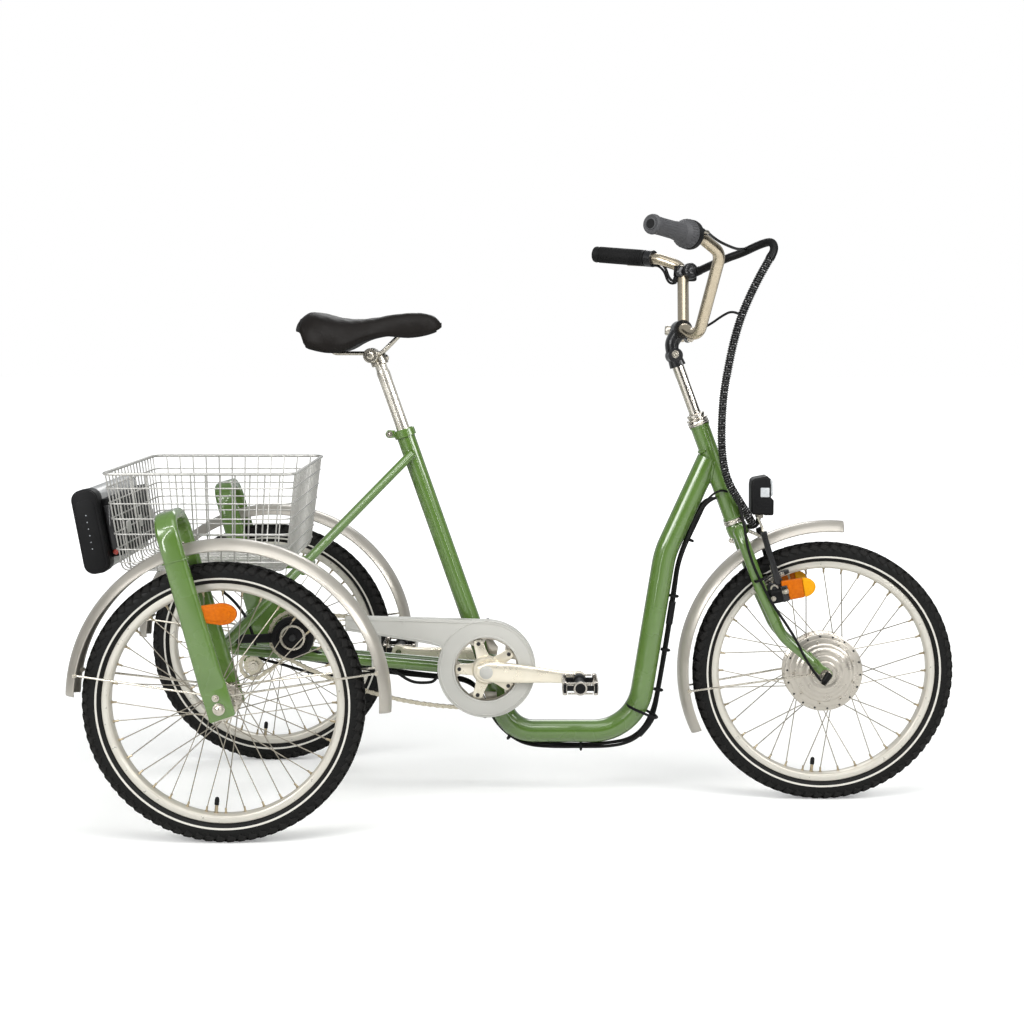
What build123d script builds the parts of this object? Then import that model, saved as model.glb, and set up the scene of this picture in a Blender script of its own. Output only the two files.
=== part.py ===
"""Electric cargo tricycle: green low-step frame, three 20-inch wheels, rear basket and battery.

Frame of the model: +X forward, +Y left, +Z up, millimetres.  While it is built, X = 0 is the rear axle
and Z = 0 is the ground.  At the end every node is shifted along X so that the origin lies on the ground
under the middle of the whole vehicle.
"""
from build123d import *
import math
import os

# ---------------------------------------------------------------- wheels
wheelbase = 1105.0
drawn_wheelbase = 1105.0     # the front end is drawn for this wheelbase and moved to the one above
track = 640.0
tyre_diameter = 500.0
tyre_width = 47.0
bead_diameter = 406.0
rim_flange = 6.0            # height of the rim's edge above the bead seat
rim_depth = 19.0
rim_width = 30.0
rim_wall = 2.5
spoke_count = 36
spoke_diameter = 2.0
rear_hub_width = 74.0
rear_hub_flange_diameter = 56.0
rear_hub_barrel_diameter = 34.0
rear_axle_diameter = 12.0
motor_diameter = 150.0
motor_width = 62.0
motor_spoke_circle = 138.0
motor_axle_diameter = 12.0

# ---------------------------------------------------------------- frame
main_tube_diameter = 43.6
head_tube_diameter = 36.0
head_tube_length = 192.0
seat_tube_diameter = 35.0
stay_diameter = 17.0
chain_stay_diameter = 22.0
cross_tube_diameter = 28.0
bottom_bracket_x = 458.0
bottom_bracket_z = 260.0
bottom_bracket_diameter = 42.0
bottom_bracket_width = 68.0
seat_angle = 19.3            # lean of the seat tube from the vertical, degrees
seat_tube_top_z = 716.0
head_angle = 20.5            # lean of the head tube from the vertical, degrees
head_axis_x = 853.0          # the steering axis passes this point ...
head_axis_z = 752.0          # ... beside the stem's lower end
head_tube_bottom_z = 545.0
main_tube_low_z = 130.5
down_tube_foot_x = 745.0
down_tube_bend_x = 800.0
down_tube_bend_z = 478.0
down_tube_top_x = 882.0
down_tube_top_z = 660.0
main_tube_foot_radius = 95.0
main_tube_rear_radius = 62.0
main_tube_bend_radius = 160.0
stay_top_z = 669.0
stay_top_spread = 15.0
stay_foot_rise = 80.0        # where a seat stay meets the arch leg, above the axle
chain_stay_spread = 22.0
cross_tube_x = -30.0
cross_tube_z = 316.0

# ---------------------------------------------------------------- wheel arches, fenders, load
arch_width = 46.0            # broad face of the arch tube
arch_thickness = 20.0
arch_span = 116.0            # between the two legs of one arch, centre to centre
arch_lean = 15.5             # backward lean, degrees
arch_headroom = 55.0         # from the fender's crest to the arch's highest centre line
arch_bend_radius = 34.0
arch_plate_top = 52.0        # where the tube changes to the flat end plate, above the axle
arch_plate_bottom = 21.0
arch_plate_thickness = 7.0
fender_radius = 288.0
fender_width = 60.0
fender_sagitta = 18.0
fender_wall = 2.0
fender_shift_x = 8.0        # the fenders stand this far forward of their axles ...
fender_shift_z = 4.0        # ... and this far above them
stay_wire_diameter = 4.0
basket_top_length = 350.0
basket_side_room = 100.0     # from the basket floor's edge to the middle plane of a rear wheel
basket_flare = 27.0          # how much further out the basket's side is at the rim than at the floor
basket_bottom_length = 304.0
basket_rear_x = -229.0
basket_bottom_rear_x = -205.0
basket_bottom_z = 465.0
basket_top_z = 650.0
basket_wall = 5.0
battery_length = 366.0
battery_height = 152.0
battery_thickness = 47.0
battery_bottom_z = 470.0
battery_lean = 10.0
battery_cap_length = 42.0
battery_rail_thickness = 22.0

# ---------------------------------------------------------------- drive
chain_line = 47.0
chain_width = 8.0
chain_height = 8.0
chainring_radius = 77.0
crank_length = 176.0
crank_angle = -4.2           # right crank against the horizontal, degrees
crank_plane = 72.0
pedal_length = 92.0
pedal_width = 68.0
pedal_height = 26.0
gear_hub_x = 91.0
gear_hub_z = 324.0
gear_hub_shell_diameter = 48.0
gear_sprocket_radius = 46.0
output_sprocket_radius = 30.0
axle_sprocket_radius = 25.0
chain_case_radius = 93.0
chain_case_opening = 61.0
chain_case_width = 22.0
chain_case_end_x = 185.0
chain_case_tab_x = 247.0     # the tab that holds the case against the chain stay
chain_case_tab_thickness = 5.0

# ---------------------------------------------------------------- steering
fork_crown_z = 522.0
fork_spread = 45.0
fork_blade_diameter = 22.0
fork_tip_spread = 56.0
bar_turn = 8.0               # the bar stands turned this far to the left on the fork, degrees
bar_diameter = 22.2
bar_clamp_x = 828.0
bar_clamp_z = 905.0
bar_control_centre = (868.0, 152.0, 1026.0)
bar_control_size = (44.0, 40.0, 30.0)
grip_length = 122.0
twist_grip_length = 100.0
shifter_length = 30.0
grip_diameter = 33.0
headset_diameter = 42.0
front_fender_start = 84.5
front_fender_end = 206.0

# ---------------------------------------------------------------- seat
seat_post_diameter = 25.4
seat_post_top_z = 846.0
seat_post_insert = 90.0
saddle_width = 205.0

# ---------------------------------------------------------------- clearances
running_gap = 0.3            # between a chain and its sprocket, and other curved faces side by side
bore_gap = 0.05              # radial gap of a turning fit

front_shift = wheelbase - drawn_wheelbase
half_track = track / 2
arch_height = fender_radius + arch_headroom
basket_bottom_width = track - 2 * basket_side_room
basket_top_width = basket_bottom_width + 2 * basket_flare
tyre_radius = tyre_diameter / 2
axle_z = tyre_radius
nodes = {}


def keep(name, *solids):
    """Files one or more solids under a node name."""
    shapes = []
    for solid in solids:
        shapes.extend(solid.solids())
    nodes[name] = shapes


def rod(start, end, radius):
    """Round bar from one point to another."""
    start = Vector(start)
    span = Vector(end) - start
    plane = Plane(origin=start, z_dir=span)
    return plane * Cylinder(radius, span.length, align=(Align.CENTER, Align.CENTER, Align.MIN))


def cross_rod(x, z, y_low, y_high, radius):
    """Round bar along Y."""
    return rod((x, y_low, z), (x, y_high, z), radius)


def pipe(points, radius, bends):
    """Round bar along straight runs joined by arcs."""
    path = FilletPolyline(*points, radius=bends)
    return sweep(Plane(origin=path @ 0, z_dir=path % 0) * Circle(radius), path=path)


def cord_bends(points):
    """Bend radius at each corner of a cable: as large as its two runs allow."""
    radii = []
    for before, here, after in zip(points, points[1:], points[2:]):
        first = Vector(here) - Vector(before)
        second = Vector(after) - Vector(here)
        turn = math.radians(first.get_angle(second))
        radii.append(0.45 * min(first.length, second.length) / math.tan(turn / 2))
    return radii


def plate(outline, y_low, y_high):
    """Flat plate between two Y values, from an outline in (x, z)."""
    face = make_face(Polyline(*[(x, 0, z) for x, z in outline], close=True))
    solid = extrude(face, amount=y_high - y_low, dir=(0, 1, 0))
    return Pos(0, y_low, 0) * solid


def steering_axis_x(z):
    return head_axis_x + (head_axis_z - z) * math.tan(math.radians(head_angle))


def seat_axis_x(z):
    return bottom_bracket_x - (z - bottom_bracket_z) * math.tan(math.radians(seat_angle))


def steering_point(z, y=0.0):
    return (steering_axis_x(z), y, z)


def seat_point(z, y=0.0):
    return (seat_axis_x(z), y, z)


# ================================================================ wheels
def tyre():
    """Tyre around the Y axis: outer round, hollow, with two beads in the rim."""
    bead = bead_diameter / 2
    half = tyre_width / 2
    middle = tyre_radius - half
    foot = rim_width / 2 - rim_wall - running_gap
    outer = make_face([
        ThreePointArc((middle, -half), (tyre_radius, 0), (middle, half)),
        Line((middle, half), (bead + rim_flange, foot)),
        Line((bead + rim_flange, foot), (bead + 0.5, foot)),
        Line((bead + 0.5, foot), (bead + 0.5, -foot)),
        Line((bead + 0.5, -foot), (bead + rim_flange, -foot)),
        Line((bead + rim_flange, -foot), (middle, -half)),
    ])
    hollow = Pos(middle - 1, 0) * Circle(half - 4.5)
    throat = Pos(bead, 0) * Rectangle(30, 2 * foot - 7)
    return revolve(outer - hollow - throat, Axis.Y)


def rim():
    """Rim channel around the Y axis."""
    bead = bead_diameter / 2
    edge = bead + rim_flange
    half = rim_width / 2
    outer = make_face(Polyline((edge, -half), (edge, half), (bead, half), (edge - rim_depth, half * 0.45),
                               (edge - rim_depth, -half * 0.45), (bead, -half), close=True))
    channel = Pos((bead + edge) / 2 + 5, 0) * Rectangle(edge - bead + 10, rim_width - 2 * rim_wall)
    return revolve(outer - channel, Axis.Y)


def spokes(circle, offset, lean):
    """Spokes from a flange's hole circle to the rim, half on each side, leaning both ways."""
    rim_inside = bead_diameter / 2 + rim_flange - rim_depth - 0.25
    bars = []
    for index in range(spoke_count):
        side = 1 if index % 2 else -1
        way = 1 if index // 2 % 2 else -1
        at_rim = 2 * math.pi * index / spoke_count
        at_hub = at_rim + way * math.radians(lean)
        inner = (circle / 2 * math.cos(at_hub), side * offset, circle / 2 * math.sin(at_hub))
        outer = (rim_inside * math.cos(at_rim), side * 3.0, rim_inside * math.sin(at_rim))
        bars.append(rod(inner, outer, spoke_diameter / 2))
    return bars


def rear_hub(bore_radius):
    """Slim hub with two flanges, bored for its axle."""
    half = rear_hub_width / 2
    profile = Polyline((bore_radius, -half), (14, -half), (14, -half + 8), (rear_hub_flange_diameter / 2, -half + 8),
                       (rear_hub_flange_diameter / 2, -half + 12), (rear_hub_barrel_diameter / 2, -half + 15),
                       (rear_hub_barrel_diameter / 2, half - 15), (rear_hub_flange_diameter / 2, half - 12),
                       (rear_hub_flange_diameter / 2, half - 8), (14, half - 8), (14, half), (bore_radius, half),
                       close=True)
    return revolve(make_face(profile), Axis.Y)


def motor_hub():
    """Hub motor: stepped round shell with spoke flanges."""
    half = motor_width / 2
    radius = motor_diameter / 2
    bore = motor_axle_diameter / 2 + bore_gap
    profile = Polyline((bore, -half - 7), (22, -half - 7), (24, -half - 2), (50, -half), (56, -half + 5),
                       (radius, -half + 9), (radius, -half + 13), (radius - 8, -half + 16),
                       (radius - 8, half - 16), (radius, half - 13), (radius, half - 9), (56, half - 5),
                       (50, half), (24, half + 2), (22, half + 7), (bore, half + 7), close=True)
    return revolve(make_face(profile), Axis.Y)


def build_wheels():
    places = {"front": (drawn_wheelbase, 0), "rear_left": (0, half_track), "rear_right": (0, -half_track)}
    for name, (x, y) in places.items():
        spot = Pos(x, y, axle_z)
        keep(f"tyre_{name}", spot * tyre())
        keep(f"rim_{name}", spot * rim())
    flange_y = rear_hub_width / 2 - 10
    hub_circle = rear_hub_flange_diameter - 8
    bore = rear_axle_diameter / 2
    right = Pos(0, -half_track, axle_z)
    keep("hub_rear_right", right * rear_hub(bore + bore_gap),
         *[right * bar for bar in spokes(hub_circle, flange_y, 60)])
    left = Pos(0, half_track, axle_z)
    keep("hub_rear_left", left * rear_hub(bore), *[left * bar for bar in spokes(hub_circle, flange_y, 60)])
    front = Pos(drawn_wheelbase, 0, axle_z)
    keep("hub_motor", front * motor_hub(),
         *[front * bar for bar in spokes(motor_spoke_circle, motor_width / 2 - 11, 20)])


# ================================================================ frame
def build_frame():
    seat_foot = (bottom_bracket_x, 0, bottom_bracket_z)
    run_corner_x = bottom_bracket_x + (bottom_bracket_z - main_tube_low_z) * math.tan(math.radians(seat_angle))
    shell = cross_rod(bottom_bracket_x, bottom_bracket_z, -bottom_bracket_width / 2, bottom_bracket_width / 2,
                      bottom_bracket_diameter / 2)
    head_top_z = head_tube_bottom_z + head_tube_length * math.cos(math.radians(head_angle))
    head_tube = rod(steering_point(head_tube_bottom_z), steering_point(head_top_z), head_tube_diameter / 2)
    head_bore = rod(steering_point(head_tube_bottom_z - 5), steering_point(head_top_z + 5),
                    head_tube_diameter / 2 - 3)
    main_tube = pipe([(down_tube_top_x + front_shift, 0, down_tube_top_z),
                      (down_tube_bend_x + front_shift, 0, down_tube_bend_z),
                      (down_tube_foot_x + front_shift, 0, main_tube_low_z),
                      (run_corner_x, 0, main_tube_low_z), seat_foot],
                     main_tube_diameter / 2, [main_tube_bend_radius, main_tube_foot_radius, main_tube_rear_radius])
    head_solid = rod(steering_point(head_tube_bottom_z - 5), steering_point(head_top_z + 5), head_tube_diameter / 2)
    keep("main_tube", main_tube - Pos(front_shift, 0, 0) * head_solid - shell)
    keep("head_tube", head_tube - head_bore)

    seat_tube = rod(seat_foot, seat_point(seat_tube_top_z), seat_tube_diameter / 2)
    seat_bore = rod(seat_point(seat_post_top_z - 400), seat_point(seat_tube_top_z + 20),
                    seat_post_diameter / 2 + bore_gap)
    spindle_bore = cross_rod(bottom_bracket_x, bottom_bracket_z, -60, 60, 14)
    keep("seat_tube", (seat_tube + shell) - seat_bore - spindle_bore)

    cross_tube = cross_rod(cross_tube_x, cross_tube_z, -(half_track - arch_span / 2 - arch_thickness / 2),
                           half_track - arch_span / 2 - arch_thickness / 2, cross_tube_diameter / 2)
    hanger = plate([(-44, 312), (-16, 236), (16, 236), (-14, 320)], 66, 74)
    hanger -= cross_rod(0, axle_z, 60, 80, rear_axle_diameter / 2 + bore_gap)
    keep("rear_cross_tube", cross_tube + hanger)

    stays = []
    lean = math.radians(arch_lean)
    for side in (-1, 1):
        top = seat_point(stay_top_z, side * stay_top_spread)
        foot = (-stay_foot_rise * math.sin(lean), side * (half_track - arch_span / 2),
                axle_z + stay_foot_rise * math.cos(lean))
        stay = rod(top, foot, stay_diameter / 2) - arch(side) - seat_tube
        stays.append(stay.solids().sort_by(SortBy.VOLUME)[-1])
    keep("seat_stays", *stays)
    chain_stays = []
    for side in (-1, 1):
        front = (bottom_bracket_x, side * chain_stay_spread, bottom_bracket_z - 8)
        rear = (cross_tube_x, side * chain_stay_spread, cross_tube_z - 22)
        chain_stays.append(rod(front, rear, chain_stay_diameter / 2) - cross_tube - shell - seat_tube - main_tube)
    keep("chain_stays", *[stay.solids().sort_by(SortBy.VOLUME)[-1] for stay in chain_stays])


def build_hub_mount():
    """What carries the gear hub: a gusset on the left, a torque arm on the right, and its axle."""
    gusset = plate([(-24, 322), (40, 372), (80, 372), (112, 345), (112, 305), (60, 285), (-18, 300)], 56, 61)
    gusset -= cross_rod(cross_tube_x, cross_tube_z, 40, 70, cross_tube_diameter / 2)
    axle = cross_rod(gear_hub_x, gear_hub_z, -66, 68, 6)
    keep("hub_bracket", gusset - axle)
    keep("gear_hub_axle", axle)
    strap = plate([(-28, 308), (-28, 333), (gear_hub_x, 337), (gear_hub_x, 311)], -61, -56)
    cap = cross_rod(gear_hub_x, gear_hub_z, -76, -61, 40) - cross_rod(gear_hub_x, gear_hub_z, -80, -72, 27)
    cap += cross_rod(gear_hub_x, gear_hub_z, -76, -70, 20)
    arm = strap + cap - axle - cross_rod(cross_tube_x, cross_tube_z, -70, -40, cross_tube_diameter / 2)
    keep("torque_arm", arm)


def chain_loop(ax, az, ar, bx, bz, br, y):
    """Band of chain around two sprockets, as one closed loop."""
    def band(grow):
        first = Pos(ax, az) * Circle(ar + grow)
        second = Pos(bx, bz) * Circle(br + grow)
        return make_hull(first.edges() + second.edges())
    ring = band(chain_height / 2) - band(-chain_height / 2)
    solid = extrude(ring, chain_width)
    return Pos(0, y + chain_width / 2, 0) * (Rot(90, 0, 0) * solid)


# ================================================================ wheel arches and fenders
def arch(side):
    """Bent flat-oval tube over one rear wheel, with a flat plate at each foot for the axle."""
    half = arch_span / 2
    path = FilletPolyline((0, -half, arch_plate_top), (0, -half, arch_height), (0, half, arch_height),
                          (0, half, arch_plate_top), radius=arch_bend_radius)
    section = Plane(origin=path @ 0, x_dir=(1, 0, 0), z_dir=path % 0) * RectangleRounded(
        arch_width, arch_thickness, arch_thickness * 0.45)
    tube = sweep(section, path=path)
    feet = []
    for y in (-half, half):
        foot = Pos(0, y, (arch_plate_top - arch_plate_bottom) / 2 + 4) * Box(
            arch_width, arch_plate_thickness, arch_plate_top + arch_plate_bottom + 8)
        feet.append(foot)
    body = tube + feet[0] + feet[1]
    body = Pos(0, side * half_track, axle_z) * (Rot(0, -arch_lean, 0) * body)
    return body


def fender(start, end):
    """Curved strip around the Y axis, from one angle to the other, measured from +X towards +Z."""
    half = fender_width / 2
    outer = ThreePointArc((fender_radius - fender_sagitta, -half), (fender_radius, 0),
                          (fender_radius - fender_sagitta, half))
    inner = ThreePointArc((fender_radius - fender_sagitta - fender_wall, half), (fender_radius - fender_wall, 0),
                          (fender_radius - fender_sagitta - fender_wall, -half))
    profile = make_face([outer, Line(outer @ 1, inner @ 0), inner, Line(inner @ 1, outer @ 0)])
    strip = revolve(profile, Axis.Y, end - start)
    return Rot(0, -end, 0) * strip


def build_rear_end():
    arches = {}
    for name, side in (("left", 1), ("right", -1)):
        body = arch(side)
        bore = rear_axle_diameter / 2 + (bore_gap if side > 0 else 0)
        body -= cross_rod(0, axle_z, side * half_track - 80, side * half_track + 80, bore)
        arches[name] = body
        keep(f"wheel_arch_{name}", body)
    outer_y = half_track + arch_span / 2 + arch_plate_thickness / 2
    inner_y = half_track - arch_span / 2 - arch_plate_thickness / 2
    pin = cross_rod(0, axle_z, -outer_y, -inner_y, rear_axle_diameter / 2)
    heads = cross_rod(0, axle_z, -outer_y - 8, -outer_y, 10) + cross_rod(0, axle_z, -inner_y, -inner_y + 8, 10)
    keep("rear_axle_right", pin + heads)
    drive = cross_rod(0, axle_z, 34, outer_y + 8, rear_axle_diameter / 2)
    sprocket = cross_rod(0, axle_z, chain_line - 6, chain_line - 2, axle_sprocket_radius - chain_height / 2
                         - running_gap)
    keep("drive_axle", drive + sprocket)

    for name, side in (("left", 1), ("right", -1)):
        y = side * half_track
        centre = Vector(fender_shift_x, y, axle_z + fender_shift_z)
        strip = Pos(*centre) * fender(-4, 178)
        lean = math.radians(arch_lean)
        arch_inside = arch_height - arch_thickness / 2
        crest = Vector(-arch_inside * math.sin(lean), y, axle_z + arch_inside * math.cos(lean))
        spacer = rod(centre + (crest - centre).normalized() * (fender_radius + running_gap), crest, 7)
        wires = []
        for angle in (-1, 174):
            radius = fender_radius - fender_sagitta - 1
            for edge in (-1, 1):
                tip = (fender_shift_x + radius * math.cos(math.radians(angle)), y + edge * (fender_width / 2 - 2),
                       axle_z + fender_shift_z + radius * math.sin(math.radians(angle)))
                root = (-4 if angle > 90 else 4, y + edge * (arch_span / 2 - arch_plate_thickness / 2 - 2),
                        axle_z + 20)
                wires.append(rod(root, tip, stay_wire_diameter / 2) - strip)
        keep(f"rear_fender_{name}", strip, spacer - arches[name],
             *[wire.solids().sort_by(SortBy.VOLUME)[-1] for wire in wires])


def build_load():
    """Basket, what it stands on, and the battery behind it."""
    bottom = Pos(basket_bottom_rear_x + basket_bottom_length / 2, 0, basket_bottom_z) * Rectangle(
        basket_bottom_length, basket_bottom_width)
    top = Pos(basket_rear_x + basket_top_length / 2, 0, basket_top_z) * Rectangle(basket_top_length,
                                                                                  basket_top_width)
    outer = loft([bottom.face(), top.face()])
    inner_bottom = Pos(basket_bottom_rear_x + basket_bottom_length / 2, 0, basket_bottom_z + basket_wall) * Rectangle(
        basket_bottom_length - 2 * basket_wall, basket_bottom_width - 2 * basket_wall)
    inner_top = Pos(basket_rear_x + basket_top_length / 2, 0, basket_top_z + 5) * Rectangle(
        basket_top_length - 2 * basket_wall, basket_top_width - 2 * basket_wall)
    keep("basket", outer - loft([inner_bottom.face(), inner_top.face()]))

    lean_x = -math.tan(math.radians(arch_lean))
    bar_z = basket_bottom_z - 14 - running_gap
    bar_x = (bar_z - axle_z) * lean_x
    inner_y = half_track - arch_span / 2 - arch_thickness / 2
    cross_bar = cross_rod(bar_x, bar_z, -inner_y, inner_y, 11)
    rails = []
    for side in (-1, 1):
        rails.append(rod((bar_x - 100, side * 60, bar_z + 9), (118, side * 60, bar_z + 9), 5))
    front_bar = cross_rod(113, bar_z, -75, 75, 7)
    carrier = cross_bar + rails[0] + rails[1] + front_bar
    for stay in nodes["seat_stays"]:
        carrier -= stay
    keep("basket_carrier", carrier)

    slope = Rot(0, -battery_lean, 0)
    rail_inset = 20
    slant = (basket_bottom_rear_x - basket_rear_x) / (basket_top_z - basket_bottom_z)
    wall_x = basket_bottom_rear_x - (battery_bottom_z + rail_inset - basket_bottom_z) * slant
    origin = Pos(wall_x + rail_inset * math.sin(math.radians(battery_lean)) - running_gap, 0, battery_bottom_z)
    rail = Pos(-battery_rail_thickness / 2, 0, battery_height / 2) * Box(
        battery_rail_thickness, battery_length - 60, battery_height - 2 * rail_inset)
    case = Pos(-battery_rail_thickness - battery_thickness / 2, battery_cap_length / 2, battery_height / 2) * (
        Rot(90, 0, 0) * extrude(RectangleRounded(battery_thickness, battery_height, 18),
                                (battery_length - battery_cap_length) / 2, both=True))
    cap = Pos(-battery_rail_thickness - battery_thickness / 2, -(battery_length - battery_cap_length) / 2,
              battery_height / 2) * (Rot(90, 0, 0) * extrude(
                  RectangleRounded(battery_thickness + 2, battery_height + 4, 19), battery_cap_length / 2, both=True))
    keep("battery_case", origin * (slope * case))
    keep("battery_mount", origin * (slope * (rail - cap)), origin * (slope * cap))


# ================================================================ drive
def build_drive():
    ring_y = -chain_line
    spindle = cross_rod(bottom_bracket_x, bottom_bracket_z, -crank_plane - 8, crank_plane + 8, 9)
    arms = []
    for side, angle in ((-1, crank_angle), (1, crank_angle + 180)):
        eye_x = bottom_bracket_x + crank_length * math.cos(math.radians(angle))
        eye_z = bottom_bracket_z + crank_length * math.sin(math.radians(angle))
        y = side * crank_plane
        boss = cross_rod(bottom_bracket_x, bottom_bracket_z, y - 11, y + 11, 17)
        eye = cross_rod(eye_x, eye_z, y - 7, y + 7, 13)
        length = Vector(eye_x - bottom_bracket_x, 0, eye_z - bottom_bracket_z)
        blade = Pos(crank_length / 2, 0, 0) * Box(crank_length, 12, 22)
        blade = Pos(bottom_bracket_x, y, bottom_bracket_z) * (Rot(0, -angle, 0) * blade)
        arm = boss + eye + blade - cross_rod(eye_x, eye_z, y - 20, y + 20, 6)
        arms.append(arm)
        pedal_name = "right" if side < 0 else "left"
        start = y + side * 12
        body = Pos(eye_x, start + side * pedal_length / 2, eye_z) * Box(pedal_width, pedal_length, pedal_height)
        body = fillet(body.edges().filter_by(Axis.Y), 8)
        body += cross_rod(eye_x, eye_z, min(y - side * 7, start), max(y - side * 7, start), 6 - bore_gap)
        keep(f"pedal_{pedal_name}", body)
    keep("crank_arms", arms[0] + arms[1] + spindle)

    inner = chainring_radius - chain_height / 2 - running_gap
    ring = cross_rod(bottom_bracket_x, bottom_bracket_z, ring_y - 2, ring_y + 2, inner)
    ring -= cross_rod(bottom_bracket_x, bottom_bracket_z, ring_y - 5, ring_y + 5, inner - 14)
    spider = cross_rod(bottom_bracket_x, bottom_bracket_z, ring_y - 14, ring_y + 2, 24)
    for index in range(5):
        angle = math.radians(72 * index + 20)
        middle = Pos(bottom_bracket_x + 42 * math.cos(angle), ring_y, bottom_bracket_z + 42 * math.sin(angle))
        spider += middle * (Rot(0, -math.degrees(angle), 0) * Box(50, 4, 16))
    chainring = ring + spider
    keep("chainring", chainring - cross_rod(bottom_bracket_x, bottom_bracket_z, -100, 100, 9)
         - cross_rod(bottom_bracket_x, bottom_bracket_z, -crank_plane - 11, -crank_plane + 11, 17))

    shell = cross_rod(gear_hub_x, gear_hub_z, -38, 36, gear_hub_shell_diameter / 2)
    front_cog = cross_rod(gear_hub_x, gear_hub_z, -chain_line - 2, -chain_line + 2,
                          gear_sprocket_radius - chain_height / 2 - running_gap)
    rear_cog = cross_rod(gear_hub_x, gear_hub_z, chain_line - 6, chain_line - 2,
                         output_sprocket_radius - chain_height / 2 - running_gap)
    core = cross_rod(gear_hub_x, gear_hub_z, -52, 52, 15)
    bore = cross_rod(gear_hub_x, gear_hub_z, -80, 80, 6 + bore_gap)
    keep("gear_hub", shell + front_cog + rear_cog + core - bore)
    keep("front_chain", chain_loop(gear_hub_x, gear_hub_z, gear_sprocket_radius, bottom_bracket_x,
                                   bottom_bracket_z, chainring_radius, -chain_line))
    keep("rear_chain", chain_loop(gear_hub_x, gear_hub_z, output_sprocket_radius, 0, axle_z,
                                  axle_sprocket_radius, chain_line - 4))


# ================================================================ chain case
def build_chain_case():
    """Cover over the chainring's rim and the upper run of the chain, open where the lower run leaves."""
    outer_y = -chain_line - chain_case_width / 2 - 2
    inner_y = outer_y + chain_case_width
    slim = 22.0
    end_z = gear_hub_z + gear_sprocket_radius * 0.5

    def outline(shrink):
        disc = Pos(bottom_bracket_x, bottom_bracket_z) * Circle(chain_case_radius - shrink)
        corner = (bottom_bracket_x, bottom_bracket_z + chain_case_radius - shrink)
        arm = make_face(Polyline(corner, (chain_case_end_x, end_z + slim - shrink),
                                 (chain_case_end_x, end_z - slim + shrink),
                                 (bottom_bracket_x - 30, bottom_bracket_z + 36 + shrink), close=True))
        tip = Pos(chain_case_end_x, end_z) * Circle(slim - shrink)
        return disc + arm + tip

    def slab(shape, low, high):
        return Pos(0, high, 0) * (Rot(90, 0, 0) * extrude(shape, high - low))

    wall = 2.0
    case = slab(outline(0), outer_y, inner_y) - slab(outline(wall), outer_y + wall, inner_y + 5)
    window = cross_rod(bottom_bracket_x, bottom_bracket_z, outer_y - 5, inner_y + 5, chain_case_opening)
    exit_slot = Pos(bottom_bracket_x - 78, (outer_y + wall + inner_y + 10) / 2, bottom_bracket_z - 52) * Box(
        90, inner_y + 10 - outer_y - wall, 60)
    back_slot = Pos(chain_case_end_x - 25, (outer_y + wall + inner_y + 10) / 2, end_z) * Box(
        50, inner_y + 10 - outer_y - wall, 60)
    tab = Pos(chain_case_tab_x, inner_y + chain_case_tab_thickness / 2, 293) * Box(
        20, chain_case_tab_thickness, 62)
    chain_stay_cut = rod((bottom_bracket_x, -chain_stay_spread, bottom_bracket_z - 8),
                         (cross_tube_x, -chain_stay_spread, cross_tube_z - 22), chain_stay_diameter / 2)
    keep("chain_case", case - window - exit_slot - back_slot + (tab - chain_stay_cut))


# ================================================================ seat
def build_seat():
    foot_z = seat_tube_top_z - seat_post_insert
    keep("seat_post", rod(seat_point(foot_z), seat_point(seat_post_top_z), seat_post_diameter / 2))
    clamp_x = seat_axis_x(seat_post_top_z) - 14
    clamp_z = seat_post_top_z + 10
    clamp = cross_rod(clamp_x, clamp_z, -30, 30, 14)
    rails = []
    for side in (-1, 1):
        rails.append(pipe([(135, side * 30, 888), (170, side * 22, clamp_z + 4), (258, side * 22, clamp_z + 4),
                           (292, side * 15, 897)], 3.5, 12))
    clamp -= rod(seat_point(foot_z), seat_point(seat_post_top_z), seat_post_diameter / 2)
    keep("saddle_rails", clamp + rails[0] + rails[1])
    side_view = make_face([
        Spline((102, 900), (109, 923), (130, 937), (229, 926), (311, 938), (352, 930), (371, 913)),
        Spline((371, 913), (335, 895), (290, 889), (221, 876), (175, 866), (127, 876), (102, 900))])
    block = extrude(Plane.XZ * Pos(0, 0) * side_view, saddle_width / 2, both=True)
    half = saddle_width / 2
    plan = make_face([
        Spline((101, 0), (110, half * 0.72), (162, half), (215, half * 0.78), (262, half * 0.42), (315, half * 0.28),
               (360, half * 0.2), (371.5, 0)),
        Spline((371.5, 0), (360, -half * 0.2), (315, -half * 0.28), (262, -half * 0.42), (215, -half * 0.78),
               (162, -half), (110, -half * 0.72), (101, 0))])
    column = Pos(0, 0, 850) * extrude(plan, 120)
    saddle = block & column
    keep("saddle", saddle - rails[0] - rails[1])
    collar = rod(seat_point(seat_tube_top_z - 14), seat_point(seat_tube_top_z - 0.5), 21)
    collar -= rod(seat_point(seat_tube_top_z - 60), seat_point(seat_tube_top_z + 20), seat_tube_diameter / 2)
    ear = Pos(seat_axis_x(seat_tube_top_z - 7) - 24, 0, seat_tube_top_z - 9) * Box(14, 14, 12)
    ear -= rod(seat_point(seat_tube_top_z - 60), seat_point(seat_tube_top_z + 20), 20)
    keep("seat_clamp", collar + ear)


# ================================================================ steering
def turned(solid):
    """Turns a piece of the handlebar about the steering axis, as far as the bar stands turned."""
    tilt = math.radians(head_angle)
    axis = Axis(steering_point(head_axis_z), (-math.sin(tilt), 0, math.cos(tilt)))
    return solid.rotate(axis, bar_turn)


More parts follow.
